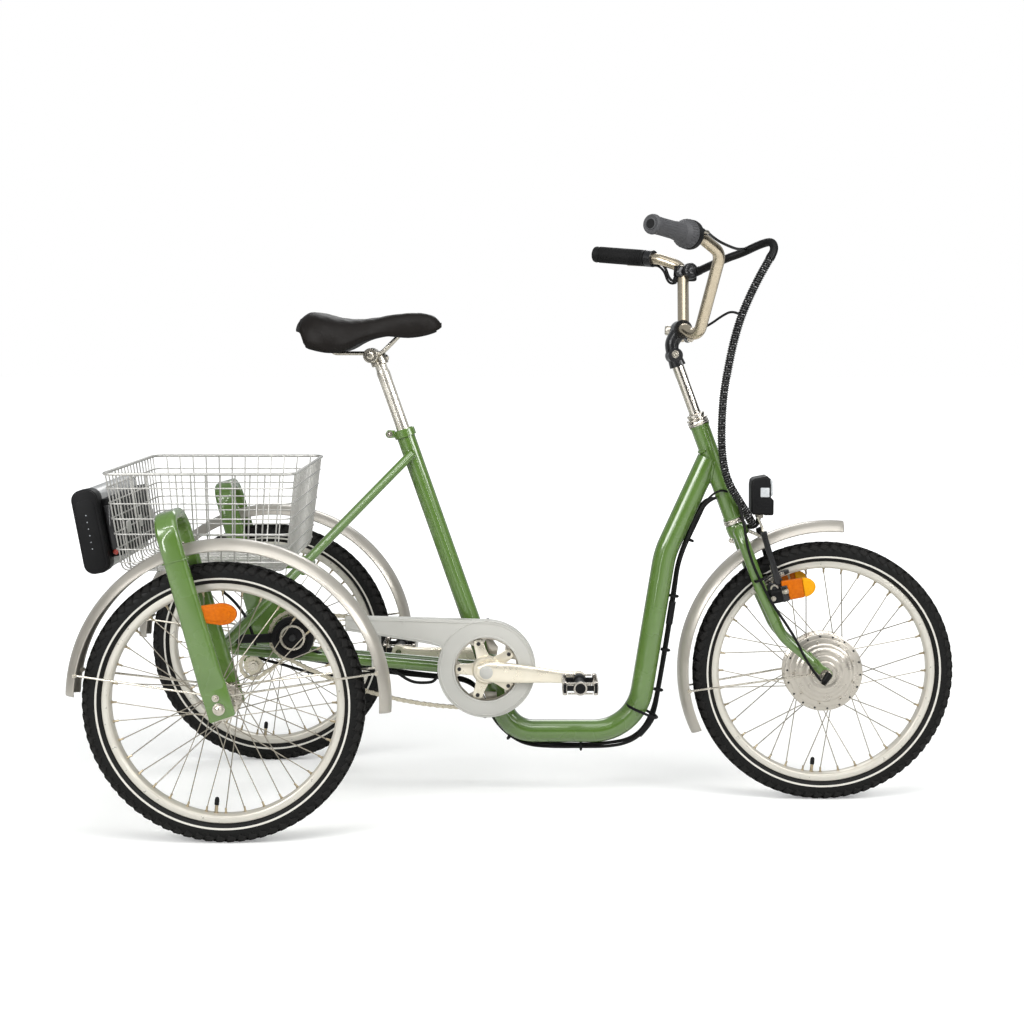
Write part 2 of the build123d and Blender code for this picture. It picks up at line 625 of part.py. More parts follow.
def build_fork():
    head_top_z = head_tube_bottom_z + head_tube_length * math.cos(math.radians(head_angle))
    steerer_radius = head_tube_diameter / 2 - 4
    steerer = rod(steering_point(fork_crown_z), steering_point(head_top_z + 8), steerer_radius)
    crown = Pos(*steering_point(fork_crown_z)) * (Rot(0, -head_angle, 0) * Box(32, 2 * fork_spread + 10, 26))
    crown = fillet(crown.edges().filter_by(Axis.Y), 8)
    fork = steerer + crown
    tilt = math.radians(head_angle)
    for side in (-1, 1):
        route = [steering_point(fork_crown_z + 8, side * fork_spread), steering_point(415, side * fork_spread),
                 (1020, side * (fork_spread + 4), 325), (drawn_wheelbase - 10, side * fork_tip_spread, axle_z + 14)]
        blade = pipe(route, fork_blade_diameter / 2, 70)
        plate_inner = motor_width / 2 + 7 + running_gap
        low, high = sorted((side * plate_inner, side * (plate_inner + 6)))
        dropout = plate([(drawn_wheelbase - 42, axle_z + 52), (drawn_wheelbase - 26, axle_z + 58),
                         (drawn_wheelbase + 12, axle_z + 6), (drawn_wheelbase + 10, axle_z - 12),
                         (drawn_wheelbase - 10, axle_z - 12)], low, high)
        fork = fork + blade + dropout
    axle = cross_rod(drawn_wheelbase, axle_z, -62, 62, motor_axle_diameter / 2)
    keep("fork", fork - axle)
    nuts = axle + cross_rod(drawn_wheelbase, axle_z, 45, 54, 11) + cross_rod(drawn_wheelbase, axle_z, -54, -45, 11)
    keep("front_axle", nuts)

    cup_radius = headset_diameter / 2
    lower = rod(steering_point(head_tube_bottom_z - 9), steering_point(head_tube_bottom_z), cup_radius)
    upper = rod(steering_point(head_top_z), steering_point(head_top_z + 8), cup_radius)
    bore = rod(steering_point(head_tube_bottom_z - 30), steering_point(head_top_z + 30), steerer_radius + bore_gap)
    keep("headset_cups", lower - bore, upper - bore)

    quill_top = steering_point(856)
    quill = rod(steering_point(head_top_z + 8), quill_top, 11.1)
    nut = rod(steering_point(head_top_z + 8.5), steering_point(head_top_z + 24), 17)
    keep("stem", quill + nut)

    clamp = cross_rod(bar_clamp_x, bar_clamp_z, -20, 20, 18)
    joint = cross_rod(quill_top[0], quill_top[2], -17, 17, 14)
    arm = rod(quill_top, (bar_clamp_x, 0, bar_clamp_z), 11)
    lug = cross_rod(bar_clamp_x + 12, bar_clamp_z - 16, -15, 15, 6)
    bar_bore = cross_rod(bar_clamp_x, bar_clamp_z, -30, 30, bar_diameter / 2)
    keep("stem_head", turned(clamp + joint + arm + lug - bar_bore) - quill)


def grip_line(side):
    """Two points on one side of the bar, before it is turned: its end, and where the straight grip part ends."""
    if side < 0:
        return (710, -300, 1073), (825, -189, 1060)
    return (715, 295, 1072), (825, 189, 1054)


def build_handlebar():
    right_end, right_bend = grip_line(-1)
    left_end, left_bend = grip_line(1)
    route = [right_end, right_bend, (866, -160, 1036), (846, -62, 885), (bar_clamp_x, -32, bar_clamp_z)]
    route += [(bar_clamp_x, 32, bar_clamp_z), (846, 62, 885), (866, 160, 1036), left_bend, left_end]
    bends = [20, 34, 28, 16, 16, 28, 34, 20]
    bar = pipe(route, bar_diameter / 2, bends)
    keep("handlebar", turned(bar))
    grips = []
    for side in (-1, 1):
        end, bend = grip_line(side)
        way = (Vector(bend) - Vector(end)).normalized()
        inner = Vector(end) + way * (twist_grip_length if side < 0 else grip_length)
        outer = Vector(end) - way * 4
        grip = rod(outer, inner, grip_diameter / 2) - rod(end, bend, bar_diameter / 2)
        grips.append(turned(grip))
        if side < 0:
            shifter = rod(inner + way * 1, inner + way * shifter_length, 22)
            keep("twist_shifter", turned(shifter - rod(end, bend, bar_diameter / 2)))
        else:
            clamp = rod(inner + way * 1, inner + way * 18, 17)
            drop = Vector(24, 12, -8)
            lever = pipe([inner + way * 8 + Vector(6, 4, -2), inner + way * 2 + drop * 1.5,
                          inner - way * 85 + drop * 1.7], 5, 20)
            keep("brake_lever", turned((clamp + lever) - rod(end, bend, bar_diameter / 2)))
    keep("grips", *grips)
    control = Pos(*bar_control_centre) * Box(*bar_control_size)
    control = fillet(control.edges(), 6) - bar
    keep("bar_control", turned(control.solids().sort_by(SortBy.VOLUME)[-1]))


def build_front_fittings():
    centre = Vector(drawn_wheelbase + fender_shift_x, 0, axle_z + fender_shift_z)
    strip = Pos(*centre) * fender(front_fender_start, front_fender_end)
    crown = Vector(*steering_point(fork_crown_z))
    hub_way = (centre - crown).normalized()
    tongue = rod(crown + hub_way * 10, crown + hub_way * ((crown - centre).length - fender_radius - running_gap), 8)
    crown_box = nodes["fork"][0]
    wires = []
    radius = fender_radius - fender_sagitta - 1
    angle = math.radians(front_fender_end - 5)
    for side in (-1, 1):
        tip = centre + Vector(radius * math.cos(angle), side * (fender_width / 2 - 2), radius * math.sin(angle))
        root = (drawn_wheelbase - 10, side * (motor_width / 2 + 7 + running_gap + 9), axle_z + 8)
        wires.append(rod(root, tip, stay_wire_diameter / 2) - strip - crown_box - nodes["front_axle"][0])
    keep("front_fender", strip, tongue - crown_box,
         *[wire.solids().sort_by(SortBy.VOLUME)[-1] for wire in wires])

    def around_wheel(radius, degrees, y):
        angle = math.radians(degrees)
        return (drawn_wheelbase + radius * math.cos(angle), y, axle_z + radius * math.sin(angle))

    brake = None
    rim_middle = bead_diameter / 2 + rim_flange - rim_depth / 2
    for side in (-1, 1):
        arm = rod(around_wheel(176, 122, side * 42), around_wheel(294, 114, side * 37), 6)
        pivot_x, _, pivot_z = around_wheel(186, 121, 0)
        pivot = cross_rod(pivot_x, pivot_z, *sorted((side * 34, side * 50)), 9)
        boss = rod((pivot_x, side * 42, pivot_z), (pivot_x - 30, side * 45, pivot_z + 2), 7)
        pad_y = side * (rim_width / 2 + 2 + 5)
        pad = rod(around_wheel(rim_middle, 112, pad_y), around_wheel(rim_middle, 127, pad_y), 5)
        stub = rod(around_wheel(rim_middle, 120.5, pad_y), around_wheel(rim_middle + 2, 120.5, side * 42), 4)
        piece = arm + pivot + boss + pad + stub - nodes["fork"][0]
        brake = piece if brake is None else brake + piece
    bridge_x, _, bridge_z = around_wheel(294, 114, 0)
    brake += cross_rod(bridge_x, bridge_z, -36, 36, 3)
    keep("front_brake", brake)

    lamp = fillet((Pos(983, 0, 590) * Box(38, 50, 72)).edges(), 11)
    lamp = lamp.rotate(Axis((983, 0, 590), (0, 1, 0)), -6)
    bracket = pipe([(950, 0, 530), (975, 0, 528), (980, 0, 560)], 5, 14)
    keep("headlight", lamp + (bracket - nodes["fork"][0]))
    lenses = []
    for side in (-1, 1):
        lens = fillet((Pos(1048, side * 52, 414) * Box(60, 12, 34)).edges(), 5)
        lens = lens.rotate(Axis((1048, 0, 414), (0, 1, 0)), -10)
        strut = rod((984, side * 52, 405), (1020, side * 52, 411), 4)
        lenses.append(lens + (strut - nodes["fork"][0] - nodes["front_brake"][0]))
    keep("fork_reflectors", *lenses)
    rear = []
    for side in (-1, 1):
        lens = fillet((Pos(-4, side * (half_track + arch_span / 2), 416) * Box(62, 12, 38)).edges(), 5)
        rear.append(lens - nodes["wheel_arch_left" if side > 0 else "wheel_arch_right"][0])
    keep("rear_reflectors", *[lens.solids().sort_by(SortBy.VOLUME)[-1] for lens in rear])


def build_cables():
    centre_x, centre_y, centre_z = bar_control_centre
    start = turned(Vertex(centre_x + bar_control_size[0] / 2 + running_gap, centre_y - 4, centre_z))
    route = [(start.X, start.Y, start.Z), (919, 112, 1042), (952, 92, 1053), (984, 70, 1069), (1004, 51, 1074),
             (1008, 36, 1058), (996, 26, 1038), (978, 18, 1008), (958, 9, 969), (940, 0, 928), (926, -9, 882),
             (916, -16, 835), (907, -24, 788), (903, -33, 738), (902, -38, 692), (906, -39, 650), (916, -37, 617),
             (933, -31, 588), (953, -21, 558), (967, -13.6, 533)]
    bends = cord_bends(route)
    print("control cable bend radii", [round(bend) for bend in bends])
    bundle = pipe(route, 8.5, bends)
    shifter_route = [(876, -122, 1068), (902, -82, 1058), (925, -20, 1052), (942, 40, 1054), (955, 86, 1057)]
    clamp_route = [(849, 16, 899), (878, 10, 905), (910, 5, 923), (938, 0, 930)]
    for thin in (shifter_route, clamp_route):
        bends = cord_bends(thin)
        print("thin cable bend radii", [round(bend) for bend in bends])
        bundle += pipe(thin, 2.5, bends)
    for name in ("twist_shifter", "stem_head", "handlebar"):
        bundle -= nodes[name][0]
    keep("control_cables", bundle.solids().sort_by(SortBy.VOLUME)[-1])

    motor_route = [(936, -40, 586), (944, -54, 548), (949, -61, 504), (962, -62.5, 462), (979, -61.5, 427),
                   (998, -61, 390), (1022, -63, 356), (1044, -66, 322), (1060, -69, 289), (1077, -72, 262),
                   (1092, -72, 243)]
    bends = cord_bends(motor_route)
    print("motor cable bend radii", [round(bend) for bend in bends])
    boot = rod((1107, -69.5, 254), (1095, -72, 235), 7)
    motor_cable = pipe(motor_route, 2.5, bends) + boot
    for solid in nodes["fork"] + nodes["front_axle"] + nodes["control_cables"] + nodes["front_brake"]:
        motor_cable -= solid
    keep("motor_cable", motor_cable.solids().sort_by(SortBy.VOLUME)[-1])

    gap = main_tube_diameter / 2 + 4.5 + running_gap
    run_corner_x = bottom_bracket_x + (bottom_bracket_z - main_tube_low_z) * math.tan(math.radians(seat_angle))
    corners = [Vector(down_tube_top_x + front_shift, down_tube_top_z),
               Vector(down_tube_bend_x + front_shift, down_tube_bend_z),
               Vector(down_tube_foot_x + front_shift, main_tube_low_z), Vector(run_corner_x, main_tube_low_z),
               Vector(bottom_bracket_x, bottom_bracket_z)]
    sides = []
    for start, end in zip(corners, corners[1:]):
        way = (end - start).normalized()
        out = Vector(-way.Y, way.X)
        sides.append((start + out * gap, end + out * gap, way))
    start_point = sides[0][0] + sides[0][2] * 75
    end_point = sides[-1][1] - sides[-1][2] * 62
    route = [(start_point.X, 0, start_point.Y)]
    for (first, _, way_a), (second, _, way_b) in zip(sides, sides[1:]):
        cross = way_a.X * way_b.Y - way_a.Y * way_b.X
        offset = second - first
        along = (offset.X * way_b.Y - offset.Y * way_b.X) / cross
        point = first + way_a * along
        route.append((point.X, 0, point.Y))
    route.append((end_point.X, 0, end_point.Y))
    route += [(437, 0, 222), (404, 0, 236), (352, 0, 239), (270, 0, 249), (150, 0, 265), (-6, 0, 288)]
    bends = [main_tube_bend_radius - gap, main_tube_foot_radius + gap, main_tube_rear_radius + gap]
    bends += cord_bends(route)[3:]
    lead = pipe(route, 4.0, bends)
    main = nodes["main_tube"][0]
    clips = []
    for fraction in (0.06, 0.2, 0.34, 0.55, 0.72, 0.93):
        path = FilletPolyline(*route, radius=bends)
        clip = Plane(origin=path @ fraction, z_dir=path % fraction) * Cylinder(6.5, 8)
        clips.append(clip - main)
    harness = lead
    for clip in clips:
        harness = harness + clip
    keep("frame_harness", harness)


build_wheels()
build_frame()
build_hub_mount()
build_rear_end()
build_load()
build_drive()
build_chain_case()
build_seat()
build_fork()
build_handlebar()
build_front_fittings()
build_cables()

front_nodes = ("tyre_front rim_front hub_motor head_tube headset_cups fork front_axle stem stem_head handlebar grips "
               "twist_shifter brake_lever bar_control front_brake headlight fork_reflectors front_fender "
               "control_cables motor_cable").split()
for name in front_nodes:
    nodes[name] = [Pos(front_shift, 0, 0) * solid for solid in nodes[name]]

everything = Compound([solid for solids in nodes.values() for solid in solids])
extent = everything.bounding_box()
origin_x = (extent.min.X + extent.max.X) / 2
print("origin_x", round(origin_x, 3), "floor", round(extent.min.Z, 4))

os.makedirs("parts", exist_ok=True)
for name, solids in nodes.items():
    moved = [Pos(-origin_x, 0, 0) * solid for solid in solids]
    whole = moved[0] if len(moved) == 1 else Compound(moved)
    print(name, len(moved), whole.is_valid, round(whole.volume / 1000, 1))
    export_step(whole, f"parts/{name}.step")
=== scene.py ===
"""Electric cargo tricycle: the visible pieces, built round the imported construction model."""
import math
import bpy
import bmesh
from mathutils import Matrix, Vector


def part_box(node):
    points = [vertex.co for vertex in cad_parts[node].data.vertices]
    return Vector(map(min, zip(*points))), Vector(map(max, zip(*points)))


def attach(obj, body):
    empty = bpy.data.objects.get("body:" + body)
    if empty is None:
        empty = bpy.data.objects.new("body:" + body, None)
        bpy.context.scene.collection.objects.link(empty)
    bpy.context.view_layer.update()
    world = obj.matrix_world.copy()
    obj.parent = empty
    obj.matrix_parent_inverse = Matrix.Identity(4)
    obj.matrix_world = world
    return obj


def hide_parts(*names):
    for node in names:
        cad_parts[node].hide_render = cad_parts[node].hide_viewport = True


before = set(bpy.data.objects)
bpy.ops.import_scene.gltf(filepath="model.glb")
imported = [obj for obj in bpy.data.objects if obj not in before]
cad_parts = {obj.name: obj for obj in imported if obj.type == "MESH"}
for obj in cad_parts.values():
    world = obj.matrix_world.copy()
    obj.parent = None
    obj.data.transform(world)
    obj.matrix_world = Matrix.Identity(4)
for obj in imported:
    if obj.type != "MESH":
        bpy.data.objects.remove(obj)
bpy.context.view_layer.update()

# ---------------------------------------------------------------- places and sizes, in millimetres
MM = 0.001
rim_low, rim_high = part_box("rim_rear_left")
rear_axle = Vector(((rim_low.x + rim_high.x) / 2, 0, 0))   # on the ground under the rear axle
wheelbase = 1105
half_track = 320                             # from the middle plane to each rear wheel
axle_z = 250                                 # height of all three axles
front_hub = Vector((wheelbase, 0, axle_z))
head_angle = math.radians(20.5)              # lean of the steering axis
head_point = Vector((853, 0, 752))           # a point on the steering axis, above the head tube
steering_axis = Vector((-math.sin(head_angle), 0, math.cos(head_angle)))
head_lean = Matrix.Rotation(-head_angle, 3, "Y")
head_low_z = 545
head_top_z = head_low_z + 192 * math.cos(head_angle)
crown_z = 522
seat_angle = math.radians(19.3)              # lean of the seat tube
bottom_bracket = Vector((458, 0, 260))
gear_hub_centre = Vector((91, 0, 324))
head_tube_radius, main_tube_radius, seat_tube_radius, bracket_radius = 18, 21.8, 17.5, 21
axle_radius = 6
bar_radius = 11.1
bar_bore = 11.2                              # inside radius of what is clamped on the bar
crank_length = 176
spoke_count = 36


def at(x, y, z):
    """Millimetres from the ground under the rear axle, as metres in the model's frame."""
    return rear_axle + Vector((x, y, z)) * MM


def steering_point(z, y=0.0):
    return Vector((head_point.x + (head_point.z - z) * math.tan(head_angle), y, z))


def seat_point(z, y=0.0):
    return Vector((bottom_bracket.x - (z - bottom_bracket.z) * math.tan(seat_angle), y, z))


def turned(degrees, axis="Y"):
    """Rotation about an axis of the frame, or about a vector."""
    return Matrix.Rotation(math.radians(degrees), 3, axis)


bar_spin = turned(8, steering_axis)          # the handlebar stands turned a little on the fork


def bar_turned(point):
    """A point of the straight handlebar, moved to where the turned bar has it."""
    return head_point + bar_spin @ (Vector(point) - head_point)


def sideways(y):
    return Vector((0, y, 0))


def polar(radius, angle, x=0.0, z=0.0):
    """A point of a circle about (x, z), at an angle in radians from the first axis to the second."""
    return x + radius * math.cos(angle), z + radius * math.sin(angle)


# ---------------------------------------------------------------- camera, floor, light
def set_camera():
    yaw, pitch, roll = math.radians(-0.33534), math.radians(5.63018), math.radians(-0.02532)
    ahead = Vector((math.sin(yaw) * math.cos(pitch), math.cos(yaw) * math.cos(pitch), -math.sin(pitch)))
    right = Vector((math.cos(yaw), -math.sin(yaw), 0))
    turn = Matrix.Rotation(roll, 3, ahead)
    right = turn @ right
    up = right.cross(ahead)
    lens = bpy.data.cameras.new("camera")
    lens.lens = 66.047
    lens.sensor_width = 36
    lens.clip_end = 60
    camera = bpy.data.objects.new("camera", lens)
    camera.matrix_world = Matrix((right, up, -ahead)).transposed().to_4x4()
    camera.location = at(527.134, -3586.177, 910.307)
    bpy.context.scene.collection.objects.link(camera)
    bpy.context.scene.camera = camera


def linear(colour):
    """sRGB hex as linear red, green, blue and alpha."""
    channels = [int(colour[index:index + 2], 16) / 255 for index in (1, 3, 5)]
    return tuple(c / 12.92 if c <= 0.04045 else ((c + 0.055) / 1.055) ** 2.4 for c in channels) + (1,)


def add(tree, kind, inputs=None, **settings):
    """Adds one node with its settings; an input is a value or another node's output."""
    made = tree.nodes.new(kind)
    for name, value in settings.items():
        setattr(made, name, value)
    for name, value in (inputs or {}).items():
        if isinstance(value, bpy.types.NodeSocket):
            tree.links.new(value, made.inputs[name])
        else:
            made.inputs[name].default_value = value
    return made


def set_world():
    """White to the camera, a dimmer cool white to everything else."""
    world = bpy.data.worlds.new("studio")
    world.use_nodes = True
    tree = world.node_tree
    tree.nodes.clear()
    ray = add(tree, "ShaderNodeLightPath")
    shows = add(tree, "ShaderNodeMath", {0: ray.outputs["Is Camera Ray"], 1: ray.outputs["Is Transmission Ray"]},
                operation="MAXIMUM")
    glow = add(tree, "ShaderNodeBackground", {"Color": linear("#E9EDF0"), "Strength": 0.5})
    backdrop = add(tree, "ShaderNodeBackground", {"Color": (1, 1, 1, 1), "Strength": 1.0})
    mixed = add(tree, "ShaderNodeMixShader", {0: shows.outputs[0], 1: glow.outputs[0], 2: backdrop.outputs[0]})
    add(tree, "ShaderNodeOutputWorld", {0: mixed.outputs[0]})
    bpy.context.scene.world = world


def stage_object(name, points, faces, coating):
    """A plain mesh of the stage, in metres; it isn't a part of the object."""
    mesh = bpy.data.meshes.new(name)
    mesh.from_pydata(points, [], faces)
    mesh.materials.append(coating)
    made = bpy.data.objects.new(name, mesh)
    bpy.context.scene.collection.objects.link(made)
    return made


def lay_floor():
    """White paper floor that takes soft shadows and fades into the white behind it."""
    paper = bpy.data.materials.new("white studio floor")
    paper.use_nodes = True
    tree = paper.node_tree
    tree.nodes.clear()
    ray = add(tree, "ShaderNodeLightPath")
    matt = add(tree, "ShaderNodeBsdfDiffuse", {"Color": linear("#E4E4E2")})
    place = add(tree, "ShaderNodeTexCoord")
    distance = add(tree, "ShaderNodeVectorMath", {0: place.outputs["Object"]}, operation="LENGTH")
    near, far, dim, full = 1.0, 4.2, 0.28, 1.0   # the floor's own light grows from dim to full between two distances
    strength = add(tree, "ShaderNodeMapRange", {0: distance.outputs["Value"], 1: near, 2: far, 3: dim, 4: full})
    lift = add(tree, "ShaderNodeEmission", {"Color": (1, 1, 1, 1), "Strength": strength.outputs[0]})
    both = add(tree, "ShaderNodeAddShader", {0: matt.outputs[0], 1: lift.outputs[0]})
    mixed = add(tree, "ShaderNodeMixShader", {0: ray.outputs["Is Camera Ray"], 1: matt.outputs[0], 2: both.outputs[0]})
    add(tree, "ShaderNodeOutputMaterial", {0: mixed.outputs[0]})
    half = 30
    floor = stage_object("floor", [(-half, -half, 0), (half, -half, 0), (half, half, 0), (-half, half, 0)],
                         [(0, 1, 2, 3)], paper)


def hang_cards():
    """One dark card before the object and one at each end, which give gloss paint and chrome their dark edges."""
    felt = bpy.data.materials.new("black studio felt")
    felt.use_nodes = True
    felt.node_tree.nodes["Principled BSDF"].inputs["Base Color"].default_value = linear("#101010")
    felt.node_tree.nodes["Principled BSDF"].inputs["Roughness"].default_value = 1.0
    points = [(-5, -4.8, 0.3), (5, -4.8, 0.3), (5, -4.8, 2.1), (-5, -4.8, 2.1)]
    for x in (-3.4, 3.4):
        points += [(x, -1.9, 0.02), (x, 1.4, 0.02), (x, 1.4, 2.2), (x, -1.9, 2.2)]
    card = stage_object("dark card", points, [(0, 1, 2, 3), (4, 5, 6, 7), (8, 9, 10, 11)], felt)
    card.visible_camera = False


def place_lamps():
    """Soft boxes for the light, thin strips for the bright lines on tubes; sizes in metres, power in watts."""
    for name, place, size, tall, power in (("soft box above", (0.4, -1.2, 3.2), 2.6, 1.8, 34),
                                           ("soft box left", (-2.6, -2.4, 1.9), 1.7, 1.2, 68),
                                           ("soft box right", (2.8, -1.6, 2.0), 1.5, 1.05, 50),
                                           ("soft box behind", (0.0, 2.6, 2.4), 1.6, 1.1, 22),
                                           ("long strip above", (0.2, -1.9, 2.5), 4.2, 0.12, 30),
                                           ("upright strip left", (-1.5, -3.1, 1.25), 0.1, 2.2, 12),
                                           ("upright strip right", (1.9, -3.0, 1.25), 0.1, 2.2, 12)):
        lamp = bpy.data.lights.new(name, "AREA")
        lamp.shape = "RECTANGLE"
        lamp.size = size
        lamp.size_y = tall
        lamp.energy = power
        holder = bpy.data.objects.new(name, lamp)
        holder.location = place
        aim = Vector((0, 0, 0.5)) - Vector(place)
        holder.rotation_euler = aim.to_track_quat("-Z", "Y").to_euler()
        bpy.context.scene.collection.objects.link(holder)


# ---------------------------------------------------------------- finishes
coat_roughness = 0.045


def finish(name, tones, tone_mm, roughness, metallic=0.0, coat=0.0, grain=None, grain_mm=1.0, grain_depth=0.0,
           stretch=(1, 1, 1), rough_spread=0.06, shine=0.5):
    """A surface: two close tones in soft patches, uneven gloss, and a fine relief.
    tone_mm and grain_mm are the real sizes of the patches and of the grain, grain_depth its height in mm."""
    made = bpy.data.materials.new(name)
    made.use_nodes = True
    tree = made.node_tree
    shader = tree.nodes["Principled BSDF"]
    place = add(tree, "ShaderNodeTexCoord")
    spread = add(tree, "ShaderNodeMapping", {"Vector": place.outputs["Object"], "Scale": stretch})
    patches = add(tree, "ShaderNodeTexNoise", {"Vector": spread.outputs[0], "Scale": 1 / (tone_mm * MM),
                                               "Detail": 3.0})
    tone = add(tree, "ShaderNodeMix", {0: patches.outputs[0], 6: linear(tones[0]), 7: linear(tones[1])},
               data_type="RGBA")
    tree.links.new(tone.outputs[2], shader.inputs["Base Color"])
    gloss = add(tree, "ShaderNodeMapRange", {0: patches.outputs[0], 1: 0.3, 2: 0.7, 3: roughness - rough_spread,
                                             4: roughness + rough_spread})
    tree.links.new(gloss.outputs[0], shader.inputs["Roughness"])
    shader.inputs["Metallic"].default_value = metallic
    shader.inputs["Coat Weight"].default_value = coat
    shader.inputs["Coat Roughness"].default_value = coat_roughness
    shader.inputs["Specular IOR Level"].default_value = shine
    if grain == "cells":
        relief = add(tree, "ShaderNodeTexVoronoi", {"Vector": place.outputs["Object"], "Scale": 1 / (grain_mm * MM)})
    elif grain:
        relief = add(tree, "ShaderNodeTexNoise", {"Vector": spread.outputs[0], "Scale": 1 / (grain_mm * MM),
                                                  "Detail": 2.0})
    if grain:
        bump = add(tree, "ShaderNodeBump", {"Height": relief.outputs[0], "Strength": 1.0,
                                            "Distance": grain_depth * MM})
        tree.links.new(bump.outputs[0], shader.inputs["Normal"])
    return made


# The orange peel of the enamel and the grains of satin, blasted and moulded surfaces are really too fine to show, so
# their grain_mm is drawn as coarse as it needs to be.
# gloss enamel over steel tube: clear coat with a slight orange peel
enamel = finish("gloss green enamel on steel", ("#4C6929", "#567434"), 60, 0.27, 0.0, 1.0, "noise", 5, 0.004)
# painted steel strip with metal flake: pale warm grey, satin
fender_paint = finish("satin silver enamel on steel", ("#A29D93", "#B0ABA2"), 40, 0.34, 0.45, 0.3, "noise", 3, 0.01)
# injection moulded ABS: even light grey with a fine eroded texture
case_plastic = finish("grey moulded ABS", ("#B1B0AA", "#BAB9B3"), 50, 0.42, 0.0, 0.0, "noise", 0.9, 0.012)
# zinc plated spot welded wire: dull bluish silver
zinc = finish("bright zinc plated wire", ("#AAA9A5", "#BFBDB8"), 12, 0.40, 0.5, 0.0, "noise", 1.5, 0.01)
# drawn stainless spoke wire, dulled by handling
spoke_wire = finish("drawn spoke wire", ("#8B8579", "#A19A8D"), 12, 0.34, 0.75)
# nickel plated bolts and fittings
plated = finish("nickel plated steel", ("#B9B2A4", "#D2CCC0"), 14, 0.28, 1.0)
# hard chrome on steel tube: mirror with a warm tint
chrome = finish("polished chrome plate", ("#CFC8BC", "#D9D4CB"), 30, 0.19, 1.0, rough_spread=0.03)
# brushed and clear anodised handlebar: champagne cast, drawn along its length
champagne = finish("champagne anodised aluminium", ("#C6B89F", "#D4C7B1"), 6, 0.25, 1.0, rough_spread=0.03)
# seat post: drawn tube, polished, with fine streaks along its length
seat_alloy = finish("drawn and polished aluminium", ("#DED8CC", "#EAE5DA"), 8, 0.22, 0.75, stretch=(1, 1, 0.12))
# cold forged and tumbled aluminium; the cranks are polished and lacquered, the pedals stamped and plated
forged = finish("tumbled forged aluminium", ("#BDB6AA", "#CCC6BB"), 18, 0.34, 0.85, grain="noise", grain_mm=1.2,
                grain_depth=0.015)
forged_bright = finish("polished forged aluminium", ("#E2D9C4", "#EDE6D6"), 26, 0.30, 0.55)
pedal_alloy = finish("bright stamped pedal alloy", ("#A8A29A", "#C4BEB5"), 7, 0.24, 1.0)
# cast shell of the hub motor, turned and lacquered
motor_shell = finish("lacquered turned aluminium", ("#B2ACA1", "#C3BDB3"), 25, 0.30, 0.7, 0.2, "noise", 2.5, 0.02)
# extruded battery housing, bead blasted and anodised
battery_shell = finish("bead blasted anodised aluminium", ("#B9BAB9", "#C6C6C5"), 30, 0.42, 0.6, grain="noise",
                       grain_mm=0.8, grain_depth=0.01)
# rolled rim, machined brake track
rim_alloy = finish("satin rolled rim alloy", ("#C3BEB2", "#CDC8BD"), 20, 0.36, 0.45)
rim_track = finish("machined brake track", ("#C9C5BA", "#D3CFC5"), 14, 0.32, 0.45)
# oiled roller chain
chain_steel = finish("oiled chain steel", ("#B4AD9A", "#CFC8B6"), 5, 0.30, 0.85)
# anodised and e-coated black parts
black_metal = finish("black e-coated metal", ("#0E0E10", "#161618"), 20, 0.36, 0.2, 0.3, "noise", 1.4, 0.01)
# black glass filled nylon
black_plastic = finish("black glass filled nylon", ("#0D0D0E", "#151516"), 25, 0.46, 0.0, 0.0, "noise", 0.8, 0.02,
                       shine=0.16)
# cable housing and harness sheath, and the shiny coil wound round the bundle
black_sheath = finish("black PVC sheath", ("#0C0C0C", "#131313"), 30, 0.42, 0.0, 0.0, "noise", 1.2, 0.01, shine=0.16)
spiral_wrap = finish("gloss black spiral cable wrap", ("#101010", "#1C1C1C"), 4, 0.14, 0.0, 1.0)
# charcoal thermoplastic rubber of the grips
grip_rubber = finish("charcoal thermoplastic rubber", ("#3A3A3C", "#474749"), 20, 0.62, 0.0, 0.0, "noise", 0.8, 0.03)
# vinyl cover with a pressed leather grain
saddle_vinyl = finish("grained black vinyl", ("#0E0B09", "#16120F"), 30, 0.50, 0.0, 0.0, "cells", 1.6, 0.05,
                      shine=0.16)
# left grip: harder rubber, ringed
black_rubber = finish("black moulded rubber", ("#121212", "#1B1B1B"), 20, 0.6, 0.0, 0.0, "noise", 0.8, 0.02,
                      shine=0.16)
# moulded pan under the saddle
saddle_base = finish("black polypropylene saddle base", ("#101010", "#191919"), 30, 0.55, 0.0, 0.0, "noise", 1, 0.03,
                     shine=0.16)
# vulcanised tread and sidewall rubber, dusty in its mould marks
tread_rubber = finish("tread rubber", ("#141413", "#1F1E1D"), 15, 0.7, 0.0, 0.0, "noise", 1.1, 0.05, shine=0.16)
wall_rubber = finish("sidewall rubber", ("#0E0E0E", "#151514"), 22, 0.52, 0.0, 0.0, "noise", 1.4, 0.03, shine=0.16)
# spoke nipples and valve stems, plated over brass
brass_nipple = finish("nickel plated brass", ("#A3957B", "#B9AC92"), 9, 0.34, 0.95)
# pale woven band moulded into each sidewall
reflex_band = finish("reflective sidewall band", ("#C2BFB6", "#CFCCC4"), 5, 0.40, 0.0)
# moulded reflector lenses, prisms showing through
amber = finish("amber acrylic lens", ("#9E4600", "#CC6C00"), 5, 0.4, 0.0, 0.0, "cells", 2.6, 0.25, shine=0.16)
yellow = finish("yellow acrylic lens", ("#CC8600", "#DC9C10"), 3, 0.4, 0.0, 0.0, "cells", 2.6, 0.25, shine=0.16)
red_lens = finish("red acrylic lens", ("#8C1F0C", "#A42C12"), 3, 0.22, 0.0, 0.6, "cells", 2.6, 0.25)
# lamp glass with fine ribs behind it
lamp_lens = finish("frosted lamp lens", ("#A9ADAF", "#C2C5C6"), 4, 0.24, 0.0, 0.2, "cells", 3, 0.2)
